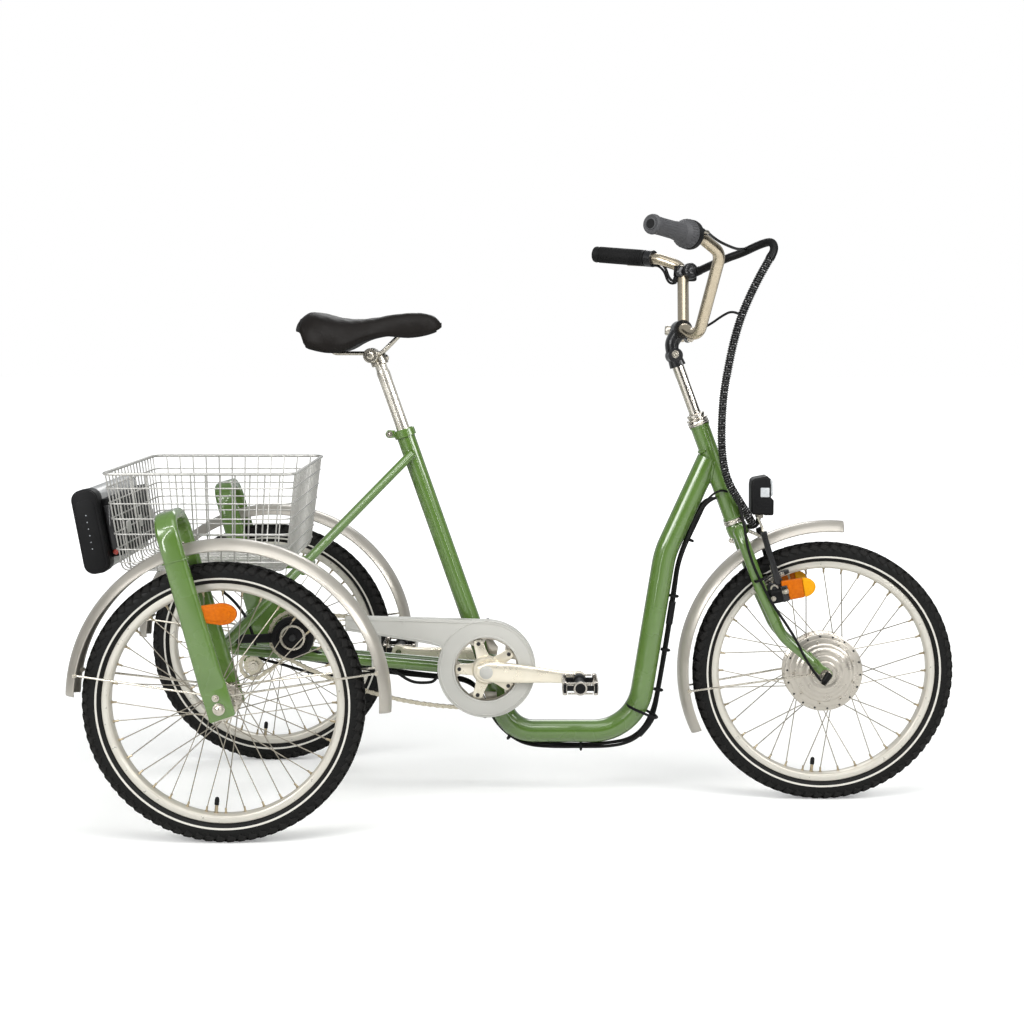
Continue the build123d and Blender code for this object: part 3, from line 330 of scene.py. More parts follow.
# light dots on the battery's end cap
pale_print = finish("pale moulded mark", ("#8E9296", "#A4A8AB"), 5, 0.5)


# ---------------------------------------------------------------- shapes
class Shape:
    """Faces gathered in millimetres, made a mesh at the end. A slot is the place of a finish in the mesh's list."""

    def __init__(self):
        self.points = []
        self.faces = []
        self.slots = []

    def face(self, corners, slot=0):
        start = len(self.points)
        self.points.extend(Vector(corner) for corner in corners)
        self.faces.append(tuple(range(start, start + len(corners))))
        self.slots.append(slot)

    def grid(self, rows, slot=0, close_rows=False, close_columns=False):
        """Quads between rows of points; slot is one number, or one for each step along a row."""
        start = len(self.points)
        width = len(rows[0])
        for row in rows:
            self.points.extend(Vector(point) for point in row)
        for r in range(len(rows) if close_rows else len(rows) - 1):
            below = start + r * width
            above = start + ((r + 1) % len(rows)) * width
            for c in range(width if close_columns else width - 1):
                d = (c + 1) % width
                self.faces.append((below + c, below + d, above + d, above + c))
                self.slots.append(slot if isinstance(slot, int) else slot[c])
        return self

    def lathe(self, base, way, profile, slot=0, steps=64, closed=None):
        """Turns a profile of (radius, distance along the axis) about the axis from base along way. The profile is
        closed, unless both its ends lie on the axis."""
        if closed is None:
            closed = profile[0][0] != 0 or profile[-1][0] != 0
        base, way = Vector(base), Vector(way).normalized()
        side = way.orthogonal().normalized()
        other = way.cross(side)
        rows = []
        for step in range(steps):
            angle = 2 * math.pi * step / steps
            out = side * math.cos(angle) + other * math.sin(angle)
            rows.append([base + way * along + out * radius for radius, along in profile])
        return self.grid(rows, slot, close_rows=True, close_columns=closed)

    def washer(self, base, way, inside, outside, low, high, slot=0, steps=64):
        """Plain ring between two distances along the axis, or a plain disc when inside is 0."""
        return self.lathe(base, way, [(inside, low), (outside, low), (outside, high), (inside, high)], slot, steps)

    def rod(self, start, end, radius, slot=0, steps=24, chamfer=0.6):
        """Round bar with chamfered ends."""
        start, end = Vector(start), Vector(end)
        length = (end - start).length
        chamfer = min(chamfer, radius * 0.4, length * 0.3)
        return self.lathe(start, end - start, [(0, 0), (radius - chamfer, 0), (radius, chamfer),
                                               (radius, length - chamfer), (radius - chamfer, length), (0, length)],
                          slot, steps)

    def sweep(self, path, section, up=(0, 1, 0), slot=0, scales=None, closed=False):
        """Carries a section of (across, upward) points along a path, kept level with the up direction."""
        path = [Vector(point) for point in path]
        up = Vector(up)
        rows = []
        for index, point in enumerate(path):
            before = path[index - 1] if index or closed else point
            after = path[(index + 1) % len(path)] if index < len(path) - 1 or closed else point
            way = (after - before).normalized()
            across = way.cross(up)
            if across.length < 1e-4:
                across = way.orthogonal()
            across.normalize()
            upward = across.cross(way).normalized()
            size = scales[index] if scales else (1, 1)
            rows.append([point + across * (a * size[0]) + upward * (b * size[1]) for a, b in section])
        self.grid(rows, slot, close_rows=closed, close_columns=True)
        if not closed:
            first = slot if isinstance(slot, int) else slot[0]
            self.face(list(reversed(rows[0])), first)
            self.face(rows[-1], first)
        return self

    def tube(self, path, radius, slot=0, steps=14, closed=False):
        """Round tube along a path that may bend any way; the section is carried along without twist."""
        path = [Vector(point) for point in path]
        count = len(path)
        radii = radius if isinstance(radius, (list, tuple)) else [radius] * count
        rows = []
        side = None
        for index, point in enumerate(path):
            before = path[index - 1] if index or closed else point
            after = path[(index + 1) % count] if index < count - 1 or closed else point
            way = (after - before).normalized()
            if side is None:
                side = way.orthogonal().normalized()
            side = (side - way * side.dot(way)).normalized()
            other = way.cross(side)
            rows.append([point + (side * math.cos(2 * math.pi * k / steps) + other * math.sin(2 * math.pi * k / steps))
                         * radii[index] for k in range(steps)])
        self.grid(rows, slot, close_rows=closed, close_columns=True)
        if not closed:
            self.face(list(reversed(rows[0])), slot)
            self.face(rows[-1], slot)
        return self

    def absorb(self, source, slot=0, turn=None, place=(0, 0, 0)):
        """Takes in the faces of a bmesh, turned and moved."""
        start = len(self.points)
        turn = turn or Matrix.Identity(3)
        source.verts.index_update()
        for vertex in source.verts:
            self.points.append(turn @ vertex.co + Vector(place))
        for face in source.faces:
            self.faces.append(tuple(start + vertex.index for vertex in face.verts))
            self.slots.append(slot)
        source.free()
        return self

    def block(self, centre, size, bevel=1.0, slot=0, turn=None, segments=3):
        """Box with rounded edges."""
        source = bmesh.new()
        bmesh.ops.create_cube(source, size=1.0)
        bmesh.ops.scale(source, vec=size, verts=source.verts)
        if bevel:
            bmesh.ops.bevel(source, geom=list(source.edges), offset=bevel, segments=segments, affect="EDGES",
                            profile=0.5)
        return self.absorb(source, slot, turn, centre)

    def prism(self, outline, low, high, bevel=0.6, slot=0, holes=(), turn=None, place=(0, 0, 0), segments=2):
        """Plate with an outline in (x, z), standing between two heights along y; holes are (x, z, radius)."""
        low, high = sorted((low, high))
        source = bmesh.new()
        ring = [source.verts.new((x, low, z)) for x, z in outline]
        edges = [source.edges.new((ring[i], ring[(i + 1) % len(ring)])) for i in range(len(ring))]
        for x, z, radius in holes:
            steps = 20
            spots = [polar(radius, 2 * math.pi * k / steps, x, z) for k in range(steps)]
            hole = [source.verts.new((x_at, low, z_at)) for x_at, z_at in spots]
            edges += [source.edges.new((hole[i], hole[(i + 1) % steps])) for i in range(steps)]
        bmesh.ops.triangle_fill(source, use_beauty=True, edges=edges)
        if not holes:
            bmesh.ops.dissolve_limit(source, angle_limit=0.01, verts=source.verts, edges=source.edges)
        grown = bmesh.ops.extrude_face_region(source, geom=list(source.faces))
        bmesh.ops.translate(source, vec=(0, high - low, 0),
                            verts=[item for item in grown["geom"] if isinstance(item, bmesh.types.BMVert)])
        bmesh.ops.recalc_face_normals(source, faces=source.faces)
        if bevel:
            rim_edges = [edge for edge in source.edges if len(edge.link_faces) == 2
                         and edge.calc_face_angle(0) > math.radians(50)]
            bmesh.ops.bevel(source, geom=rim_edges, offset=bevel, segments=segments, affect="EDGES", profile=0.5)
        return self.absorb(source, slot, turn, place)

    def hex_head(self, centre, way, across, height, slot=0, dome=True):
        """Hexagon head with a washer face."""
        centre, way = Vector(centre), Vector(way).normalized()
        self.washer(centre, way, 0, across * 0.62, 0, 0.8, slot, 24)
        corner = across / math.sqrt(3)
        profile = [(0, 0.8), (corner, 0.8), (corner, height - 0.6), (corner * 0.86, height), (0, height)]
        self.lathe(centre, way, profile, slot, 6)
        if dome:
            self.lathe(centre + way * height, way, [(0, 0), (across * 0.28, 0), (across * 0.2, 1.4), (0, 2)], slot, 16)
        return self

    def mesh(self, *finishes, origin=None):
        """A mesh in metres; without an origin its points are taken from the rear axle's place."""
        origin = rear_axle if origin is None else Vector(origin)
        made = bpy.data.meshes.new("shape")
        made.from_pydata([point * MM + origin for point in self.points], [], self.faces)
        for coating in finishes:
            made.materials.append(coating)
        made.polygons.foreach_set("material_index", self.slots)
        tidy = bmesh.new()
        tidy.from_mesh(made)
        bmesh.ops.remove_doubles(tidy, verts=tidy.verts, dist=0.01 * MM)
        bmesh.ops.dissolve_degenerate(tidy, edges=tidy.edges, dist=0.005 * MM)
        bmesh.ops.recalc_face_normals(tidy, faces=tidy.faces)
        tidy.to_mesh(made)
        tidy.free()
        return made


def piece(name, meshes, body, slot_name, *nodes, crease=34):
    """Joins meshes into one named piece that rides on a body and stands for the nodes named last."""
    joined = bpy.data.meshes.new(name)
    whole = bmesh.new()
    for part in meshes:
        start = len(whole.faces)
        whole.from_mesh(part)
        whole.faces.ensure_lookup_table()
        places = []
        for coating in part.materials:
            if coating.name not in [m.name for m in joined.materials]:
                joined.materials.append(coating)
            places.append([m.name for m in joined.materials].index(coating.name))
        for index in range(start, len(whole.faces)):
            face = whole.faces[index]
            face.material_index = places[face.material_index]
            face.smooth = True
    whole.to_mesh(joined)
    whole.free()
    joined.set_sharp_from_angle(angle=math.radians(crease))
    made = bpy.data.objects.new(name, joined)
    bpy.context.scene.collection.objects.link(made)
    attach(made, body)
    if nodes:
        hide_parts(*nodes)
    return made


def rounded(points, radii, step=4.0):
    """The corners of a route turned into arcs; a radius for each inner corner."""
    points = [Vector(point) for point in points]
    line = [points[0]]
    for before, here, after, radius in zip(points, points[1:], points[2:], radii):
        come, leave = (here - before).normalized(), (after - here).normalized()
        turn = come.angle(leave)
        cut = radius * math.tan(turn / 2)
        middle = here + (leave - come).normalized() * (radius / math.cos(turn / 2))
        first = here - come * cut
        spin = come.cross(leave).normalized()
        count = max(3, int(radius * turn / step))
        for index in range(count + 1):
            line.append(middle + Matrix.Rotation(turn * index / count, 3, spin) @ (first - middle))
    line.append(points[-1])
    return line


def settled(points, detail=10):
    """A cable's smooth line through the space of its route, from a curve with the route's points."""
    curve = bpy.data.curves.new("route", "CURVE")
    curve.dimensions = "3D"
    spline = curve.splines.new("NURBS")
    spline.points.add(len(points) - 1)
    for place, point in zip(spline.points, points):
        place.co = (*point, 1)
    spline.order_u = 3
    spline.use_endpoint_u = True
    spline.resolution_u = detail
    holder = bpy.data.objects.new("route", curve)
    bpy.context.scene.collection.objects.link(holder)
    line = bpy.data.meshes.new_from_object(holder)
    found = [vertex.co.copy() for vertex in line.vertices]
    bpy.data.objects.remove(holder)
    bpy.data.meshes.remove(line)
    return found


# ---------------------------------------------------------------- repeats, as geometry nodes
def new_tree(name, **inputs):
    """A geometry tree with a geometry input and output, and named inputs given as socket kinds."""
    tree = bpy.data.node_groups.new(name, "GeometryNodeTree")
    tree.interface.new_socket(name="Geometry", in_out="INPUT", socket_type="NodeSocketGeometry")
    for label, kind in inputs.items():
        tree.interface.new_socket(name=label.replace("_", " "), in_out="INPUT", socket_type="NodeSocket" + kind)
    tree.interface.new_socket(name="Geometry", in_out="OUTPUT", socket_type="NodeSocketGeometry")
    return tree, add(tree, "NodeGroupInput").outputs


def close_tree(tree, geometry, coating):
    whole = add(tree, "GeometryNodeRealizeInstances", {"Geometry": geometry})
    if coating:
        whole = add(tree, "GeometryNodeSetMaterial", {"Geometry": whole.outputs[0], "Material": coating})
    add(tree, "NodeGroupOutput", {"Geometry": whole.outputs[0]})
    return tree


def round_axle_tree(coated=True):
    """Copies of the incoming shape turned about Y, evenly, from a start angle; coated, or with its own finishes."""
    inputs = {"Coating": "Material"} if coated else {}
    tree, given = new_tree("repeat round an axle", Count="Int", Start="Float", **inputs)
    points = add(tree, "GeometryNodePoints", {"Count": given["Count"]})
    index = add(tree, "GeometryNodeInputIndex")
    share = add(tree, "ShaderNodeMath", {0: index.outputs[0], 1: given["Count"]}, operation="DIVIDE")
    angle = add(tree, "ShaderNodeMath", {0: share.outputs[0], 1: -2 * math.pi, 2: given["Start"]},
                operation="MULTIPLY_ADD")
    turn = add(tree, "ShaderNodeCombineXYZ", {"Y": angle.outputs[0]})
    copies = add(tree, "GeometryNodeInstanceOnPoints", {"Points": points.outputs[0], "Instance": given["Geometry"],
                                                        "Rotation": turn.outputs[0]})
    return close_tree(tree, copies.outputs[0], given["Coating"] if coated else None)


def along_loop_tree():
    """Copies of an object at even steps along a flat loop, every second one, lying along the loop."""
    tree, given = new_tree("repeat along a loop", Link="Object", Count="Int", Phase="Int", Coating="Material")
    steps = add(tree, "GeometryNodeCurveToPoints", {"Curve": given["Geometry"], "Count": given["Count"]}, mode="COUNT")
    index = add(tree, "GeometryNodeInputIndex")
    shifted = add(tree, "ShaderNodeMath", {0: index.outputs[0], 1: given["Phase"]}, operation="ADD")
    odd = add(tree, "ShaderNodeMath", {0: shifted.outputs[0], 1: 2.0}, operation="MODULO")
    lie = add(tree, "FunctionNodeAlignRotationToVector", {"Vector": steps.outputs["Tangent"]}, axis="X")
    flat = add(tree, "FunctionNodeAlignRotationToVector", {"Rotation": lie.outputs[0], "Vector": (0, 1, 0)}, axis="Y",
               pivot_axis="X")
    link = add(tree, "GeometryNodeObjectInfo", {"Object": given["Link"]})
    copies = add(tree, "GeometryNodeInstanceOnPoints", {"Points": steps.outputs[0], "Selection": odd.outputs[0],
                                                        "Instance": link.outputs["Geometry"],
                                                        "Rotation": flat.outputs[0]})
    return close_tree(tree, copies.outputs[0], given["Coating"])


def wire_tree():
    """Every edge of the incoming mesh made a round wire."""
    tree, given = new_tree("edges to wire", Wire_Radius="Float", Sides="Int", Coating="Material")
    line = add(tree, "GeometryNodeMeshToCurve", {"Mesh": given["Geometry"]})
    section = add(tree, "GeometryNodeCurvePrimitiveCircle", {"Resolution": given["Sides"],
                                                             "Radius": given["Wire Radius"]})
    wire = add(tree, "GeometryNodeCurveToMesh", {"Curve": line.outputs[0], "Profile Curve": section.outputs[0],
                                                 "Fill Caps": True})
    return close_tree(tree, wire.outputs[0], given["Coating"])


round_axle = round_axle_tree()
round_axle_kept = round_axle_tree(False)
along_loop = along_loop_tree()
edges_to_wire = wire_tree()


def grown(tree, source, shift=(0, 0, 0), **values):
    """Runs a geometry tree on a mesh or curve and returns the plain mesh, moved to its place in metres."""
    holder = bpy.data.objects.new("source", source)
    bpy.context.scene.collection.objects.link(holder)
    modifier = holder.modifiers.new("tree", "NODES")
    modifier.node_group = tree
    for item in tree.interface.items_tree:
        if item.in_out == "INPUT" and item.name in values:
            modifier[item.identifier] = values[item.name]
    graph = bpy.context.evaluated_depsgraph_get()
    result = bpy.data.meshes.new_from_object(holder.evaluated_get(graph))
    holder.modifiers.clear()
    bpy.data.objects.remove(holder)
    result.transform(Matrix.Translation(Vector(shift)))
    return result


def ringed(shape, count, coating, centre, start=0.0):
    """A shape made at angle 0 beside the origin, repeated round an axle at centre (mm)."""
    base = shape.mesh(coating, origin=(0, 0, 0))
    return grown(round_axle, base, at(*centre), Count=count, Start=start, Coating=coating)


def wired(lines, radius, coating, sides=6):
    """Lines of points in mm, made round wires."""
    points, edges = [], []
    for line in lines:
        start = len(points)
        points.extend(at(*point) for point in line)
        edges.extend((start + index, start + index + 1) for index in range(len(line) - 1))
    mesh = bpy.data.meshes.new("lines")
    mesh.from_pydata(points, edges, [])
    return grown(edges_to_wire, mesh, **{"Wire Radius": radius * MM, "Sides": sides, "Coating": coating})


# ---------------------------------------------------------------- wheels
def both_sides(half):
    """Half a wheel profile of (radius, distance from the middle plane), with its mirror image added."""
    return half + [(radius, -along) for radius, along in reversed(half) if along]


def chosen(profile, choice):
    """The finish of each step of a closed profile, chosen from the step's middle."""
    return [choice((a[0] + b[0]) / 2, (a[1] + b[1]) / 2) for a, b in zip(profile, profile[1:] + profile[:1])]


def round_angle(centre, radius, degrees, y=0.0):
    """A point beside a wheel's centre, at an angle from +X towards +Z."""
    angle = math.radians(degrees)
    return Vector((centre[0] + radius * math.cos(angle), centre[1] + y, centre[2] + radius * math.sin(angle)))


tread_pitch = 20.0
nipple_radius = 194          # where a spoke goes into its nipple
valve_angle = 265


def make_tyre(centre):
    """Carcass with its reflective bands, four rows of tread blocks with their shoulders, and the sidewall's ribs."""

    outside = both_sides([(206, 12.2), (213.4, 12.4), (214.9, 15.4), (216.2, 18.0), (217.6, 19.4), (219.2, 20.4),
                          (220.4, 21.6), (221.1, 22.2), (221.3, 22.5), (224.7, 23.2), (224.9, 23.0), (230, 23.4),
                          (235.5, 22.6), (238.8, 21.2), (241.4, 19.2), (243.6, 15.4), (245.0, 10), (245.8, 4),
                          (246, 0)])
    inside = [(242, -3), (240, -12), (232, -19.4), (224, -18.6), (216, -12), (207, -9.4), (207, 9.4), (216, 12),
              (224, 18.6), (232, 19.4), (240, 12), (242, 3)]
    profile = outside + inside
    finishes = chosen(profile, lambda radius, y: 2 if 221.2 < radius < 224.8 and abs(y) > 22.4 else 1 if radius < 239.5
                      else 0)
    carcass = Shape().lathe(centre, (0, 1, 0), profile, finishes, 144)
    parts = [carcass.mesh(tread_rubber, wall_rubber, reflex_band)]
    blocks = round(2 * math.pi * axle_z / tread_pitch)
    knob = Shape()
    for side in (-1, 1):
        outward = turned(side * 48, "Z")
        knob.block((241.4, side * 19.4, side * 2), (4.8, 11.5, 14.5), 1.5, 0, outward @ turned(side * 24, "X"),
                   segments=1)
        knob.block((236.2, side * 22.7, side * 5.5), (8.4, 1.6, 3.4), 0.5, 0, turned(side * 20), segments=1)
        knob.block((246.6, side * 11.6, side * 6), (5.2, 8.6, 12), 1.2, 0,
                   turned(side * 9, "Z") @ turned(side * 24, "X"), segments=1)
        knob.block((247.4, side * 3.9, side * -3.2), (4.6, 6.4, 13), 0.9, 0, turned(side * -20, "X"), segments=1)
    parts.append(ringed(knob, blocks, tread_rubber, centre))
    rib = Shape().block((231.6, 22.9, 0), (7.5, 1.0, 1.1), 0.35, 0, segments=1)
    rib.block((231.6, -22.9, 0), (7.5, 1.0, 1.1), 0.35, 0, segments=1)
    parts.append(ringed(rib, blocks * 2, wall_rubber, centre))
    return parts


def make_rim(centre):
    """Rim with its brake tracks, a nipple for each spoke, and the valve with its cap."""

    profile = both_sides([(213.4, 13.0), (214.4, 13.8), (214.2, 15.2), (213, 15.8), (205.2, 15.2), (204.6, 14.6),
                          (203.4, 14.4), (202, 13.2), (200.6, 10.4), (199.9, 6.4), (199.5, 3), (199.5, 0)])
    inner = [(202, -2), (203.4, -8), (206, -12), (211, -12.4), (211, 12.4), (206, 12), (203.4, 8), (202, 2)]
    whole = profile + inner
    finishes = chosen(whole, lambda radius, y: 1 if 204.8 < radius < 213.2 and abs(y) > 14.2 else 0)
    parts = [Shape().lathe(centre, (0, 1, 0), whole, finishes, 144).mesh(rim_alloy, rim_track)]
    eyelet = Shape()
    eyelet.lathe((200.2, 0, 0), (-1, 0, 0), [(0, 0), (3.4, 0), (3.4, 1.2), (2.3, 2.2), (2.2, 3.2), (1.9, 3.4),
                                             (1.9, 9.5), (1.2, 10.3), (0, 10.3)], 0, 10)
    parts.append(ringed(eyelet, spoke_count, brass_nipple, centre))
    valve = Shape()
    foot = round_angle(centre, 200.6, valve_angle)
    inward = (Vector(centre) - foot).normalized()
    valve.lathe(foot, inward, [(0, 0), (4.6, 0), (4.6, 1.4), (3.6, 2.6), (3.0, 3), (3.0, 15), (2.6, 15.6), (2.6, 18),
                               (0, 18)], 0, 20)
    valve.lathe(foot + inward * 15.4, inward, [(0, 0), (4.0, 0), (4.2, 1), (4.2, 9), (3.4, 12.6), (2.2, 13.8),
                                               (0, 14)], 1, 20)
    for ring in range(6):
        valve.lathe(foot + inward * (4 + ring * 1.8), inward, [(2.9, 0), (3.35, 0.5), (2.9, 1.0)], 0, 16)
    parts.append(valve.mesh(brass_nipple, black_plastic))
    return parts


def spoke_lines(centre, circle, offset, lean):
    """Straight pulls from the holes of both flanges to the rim, leaning both ways, with a bent head at the flange."""
    lines = []
    for index in range(spoke_count):
        side = 1 if index % 2 else -1
        way = 1 if index // 2 % 2 else -1
        at_rim = 360 * index / spoke_count
        hole = round_angle(centre, circle / 2, at_rim + way * lean, side * offset)
        end = round_angle(centre, nipple_radius, at_rim, side * 0.8)
        lines.append([hole + sideways(-side * 3.2), hole + sideways(side * way * 0.6), end])
    return lines


def spoke_heads(circle, offset, lean):
    """The spokes' heads that repeat round both flanges, two for each, in the wheel's own frame at angle 0."""
    head = Shape()
    for index in (0, 2):
        way = 1 if index // 2 % 2 else -1
        for side in (-1, 1):
            at_rim = 360 * (index + (side > 0)) / spoke_count
            spot = round_angle((0, 0, 0), circle / 2, at_rim + way * lean, side * offset)
            head.lathe(spot, (0, side, 0), [(0, -3), (1.9, -3), (1.9, 0.6), (1.2, 1.4), (0, 1.6)], 0, 10)
    return head


def make_rear_hub(centre, bore):
    circle, lean = 48, 60                        # of the spoke holes in each flange

    profile = both_sides([(bore, 37), (10.5, 37), (13.2, 36), (14, 34.6), (14, 30.6), (15.4, 29.6), (19, 29.3),
                          (26.4, 29.0), (27.8, 28.2), (28, 27.4), (27.8, 26.4), (26.4, 25.4), (20.4, 24.6),
                          (18.2, 22.2), (17.2, 18), (17, 12), (17, 0)])
    barrel = Shape().lathe(centre, (0, 1, 0), profile + [(bore, -1), (bore, 1)], 0, 56)
    parts = [barrel.mesh(forged)]
    parts.append(ringed(spoke_heads(circle, 29.2, lean), spoke_count // 4, plated, centre))
    parts.append(wired(spoke_lines(centre, circle, 27, lean), 1.0, spoke_wire, 6))
    return parts


def make_motor(centre):
    """Shell of the hub motor in one turned profile, its cover screws, spoke holes painted as black discs of shade, and
    spokes.
    """

    half = [(6.1, 38), (14.5, 38), (15.5, 37), (21.2, 37), (22, 36.2), (22.4, 33.8), (24, 33), (27, 33.6), (30, 33.9),
            (33, 33.5), (34.6, 32.2), (36.6, 31.6), (39.5, 32.3), (43, 32.1), (46.6, 30.9), (48.6, 29.3), (50.4, 28.6),
            (52.6, 28.7), (55, 27.6), (56.8, 26.1), (64.5, 25.4), (66.2, 24.6), (66.6, 23.2), (73.4, 22.2),
            (74.7, 21.4), (75, 20.4), (74.9, 18.8), (74.0, 17.9), (69, 16.4), (67.4, 14.6), (67, 12), (67, 0)]
    shell = Shape().lathe(centre, (0, 1, 0), both_sides(half) + [(6.1, -1), (6.1, 1)], 0, 96)
    parts = [shell.mesh(motor_shell)]
    screw = Shape()
    for side in (-1, 1):
        screw.lathe((59.6, side * 26.2, 0), (0, side, 0), [(0, -2), (3.1, -2), (3.1, 0.8), (2.4, 1.6), (0, 1.6)], 0,
                    12)
        # a thin black hexagon on each screw head is painted shade standing in for the socket
        screw.lathe((59.6, side * 27.85, 0), (0, side, 0), [(0, 0), (1.3, 0), (0.9, 0.1), (0, 0.1)], 1, 6)
    both = screw.mesh(forged, black_metal, origin=(0, 0, 0))
    parts.append(grown(round_axle_kept, both, at(*centre), Count=9, Start=0.3))
    # flat black discs on the flange are painted shade standing in for the spoke holes
    hole = Shape()
    for side, turn in ((-1, 0), (1, 360 / spoke_count)):
        hole.washer(round_angle((0, 0, 0), 70.2, turn, side * 21.4), (0, side, 0), 0, 2.1, 0, 1.7, 0, 10)
    parts.append(ringed(hole, spoke_count // 2, black_metal, centre, 0.06))
    parts.append(wired(spoke_lines(centre, 138, 20, 20), 1.0, spoke_wire, 6))
    return parts


def make_wheels():
    for name, body, centre in (("front", "front_wheel", front_hub),
                               ("rear_left", "rear_wheel_left", (0, half_track, axle_z)),
                               ("rear_right", "rear_wheel_right", (0, -half_track, axle_z))):
        piece(f"tyre_{name}_rubber", make_tyre(centre), body, "tyre", f"tyre_{name}")
        piece(f"rim_{name}_alloy", make_rim(centre), body, "rim_metal", f"rim_{name}")
        if name == "front":
            piece("hub_motor_shell", make_motor(centre), body, "aluminium", "hub_motor")
        else:
            bore = axle_radius + (0.05 if name == "rear_right" else 0)   # the right wheel turns on its axle
            piece(f"hub_{name}_spoked", make_rear_hub(centre, bore), body, "aluminium", f"hub_{name}")


make_wheels()


# ---------------------------------------------------------------- frame: wheel arches, feet, weld beads
arch_lean = math.radians(15.5)
arch_half_span = 58
arch_height = 343            # of the crossbar's middle line above the axle, along the lean

leaned = Matrix.Rotation(-arch_lean, 3, "Y")


def soft_rectangle(width, height, radius, steps=6):
    """Closed outline of a rounded rectangle, width along the first coordinate."""
    outline = []
    for corner, (x, y) in enumerate(((1, 1), (-1, 1), (-1, -1), (1, -1))):
        for step in range(steps + 1):
            angle = math.pi / 2 * (corner + step / steps)
            outline.append(polar(radius, angle, x * (width / 2 - radius), y * (height / 2 - radius)))
    return outline


def arch_point(side, point):
    """A point of one wheel arch: y from the wheel's middle plane, z up along the leaning leg from the axle."""
    return leaned @ Vector((point[0], 0, point[2])) + Vector((0, point[1] + side * half_track, axle_z))


def make_arch(side):
    """Bent flat-sided tube over a wheel, pressed thin at its feet, with the axle plates welded on."""

    route = rounded([(0, -arch_half_span, 30), (0, -arch_half_span, arch_height), (0, arch_half_span, arch_height),
                     (0, arch_half_span, 30)], [36, 36], step=5)
    legs = [Vector((0, -arch_half_span, z)) for z in (34, 38, 42, 47, 53, 60, 68, 78, 110, 160, 220, 270)]
    path = legs + route[1:-1] + [Vector((0, -point.y, point.z)) for point in reversed(legs)]
    scales = []
    for point in path:
        rise = min(1.0, max(0.0, (point.z - 36) / 44))
        swell = math.sin(math.pi / 2 * rise)
        slimmer = 0.13 * min(1.0, max(0.0, (point.z - 90) / 190))
        scales.append((0.36 + 0.64 * swell, 1.04 - 0.04 * swell - slimmer))
    placed = [arch_point(side, point) for point in path]
    tube = Shape().sweep(placed, soft_rectangle(20, 46, 9.2), tuple(leaned @ Vector((1, 0, 0))), 0, scales)
    for y in (-arch_half_span, arch_half_span):
        plate = [(-22, -18), (-20, -20), (22, -18), (25, -15), (24, 48), (17, 56), (-17, 56), (-23, 48)]
        tube.prism(plate, -3.5, 3.5, 1.0, 0, turn=leaned, place=(0, y + side * half_track, axle_z))
    seam = []
    for x, y in soft_rectangle(20.4, 46.4, 9.4):
        seam.append(arch_point(side, (y, side * arch_half_span + x, 268)))
    tube.tube(seam, 1.1, 0, 8, closed=True)
    return tube.mesh(enamel)


def bolt(shape, spot, way, across=10.0, height=5.0, slot=0):
    """Hexagon bolt head on its washer."""
    shape.washer(spot, way, 0, across * 0.8, -1, 1.2, slot, 24)
    shape.hex_head(Vector(spot) + Vector(way).normalized() * 1.0, way, across, height, slot)


def cap_nut(shape, spot, way, across=15.0, slot=0):
    """Closed domed nut with its washer."""
    spot, way = Vector(spot), Vector(way).normalized()
    shape.lathe(spot, way, [(0, 0), (across * 0.72, 0), (across * 0.72, 1.6), (across * 0.6, 2.0), (0, 2.0)], slot, 28)
    corner = across / math.sqrt(3)
    shape.lathe(spot + way * 2, way, [(0, 0), (corner, 0), (corner, 4.4), (corner * 0.84, 5.4), (0, 5.4)], slot, 6)
    shape.lathe(spot + way * 6.6, way, [(0, 0), (across * 0.42, 0), (across * 0.4, 1.2), (across * 0.28, 2.6),
                                        (across * 0.12, 3.4), (0, 3.6)], slot, 20)


def make_axle_fixings():
    for side in (1, -1):
        fixings = Shape()
        for leg in (-1, 1):
            y = side * half_track + leg * (arch_half_span + 3.5)
            if side < 0:
                cap_nut(fixings, (0, y, axle_z), (0, leg, 0), 15)
            elif leg > 0:
                fixings.lathe((0, y - 5, axle_z), (0, 1, 0), [(6.1, 0), (15, 0), (15, 8.6), (13.6, 10), (6.1, 10)], 0,
                              32)
            bolt(fixings, arch_point(side, (0, leg * (arch_half_span + 3.8), 20)), (0, leg, 0), 8, 3.6)
        if side < 0:
            fixings.rod((0, -half_track - 62, axle_z), (0, -half_track + 62, axle_z), 6, 0, 20)
            piece("rear_axle_right_nuts", [fixings.mesh(plated)], "frame", "steel", "rear_axle_right")
        else:
            piece("left_arch_bearing_and_bolts", [fixings.mesh(plated)], "frame", "steel")


def crossing_line(start, way, radius, other_start, other_way, other_radius, steps, low=0.0):
    """Where a tube's skin meets another tube: points round the first tube, found by walking along it."""
    start, way = Vector(start), Vector(way).normalized()
    other_start, other_way = Vector(other_start), Vector(other_way).normalized()
    side = way.orthogonal().normalized()
    across = way.cross(side)
    line = []
    for step in range(steps):
        angle = 2 * math.pi * step / steps
        skin = start + (side * math.cos(angle) + across * math.sin(angle)) * radius
        for step_along in range(160):
            offset = skin + way * (low + step_along) - other_start
            if (offset - other_way * offset.dot(other_way)).length <= other_radius:
                line.append(skin + way * (low + step_along - 0.6))
                break
    return line


def weld_bead(shape, line, size):
    """Rippled bead of weld along a line."""
    if len(line) < 8:
        return shape
    ripple = [size * (1 + 0.12 * math.sin(index * 1.9)) for index in range(len(line))]
    return shape.tube(line, ripple, 0, 8, closed=True)


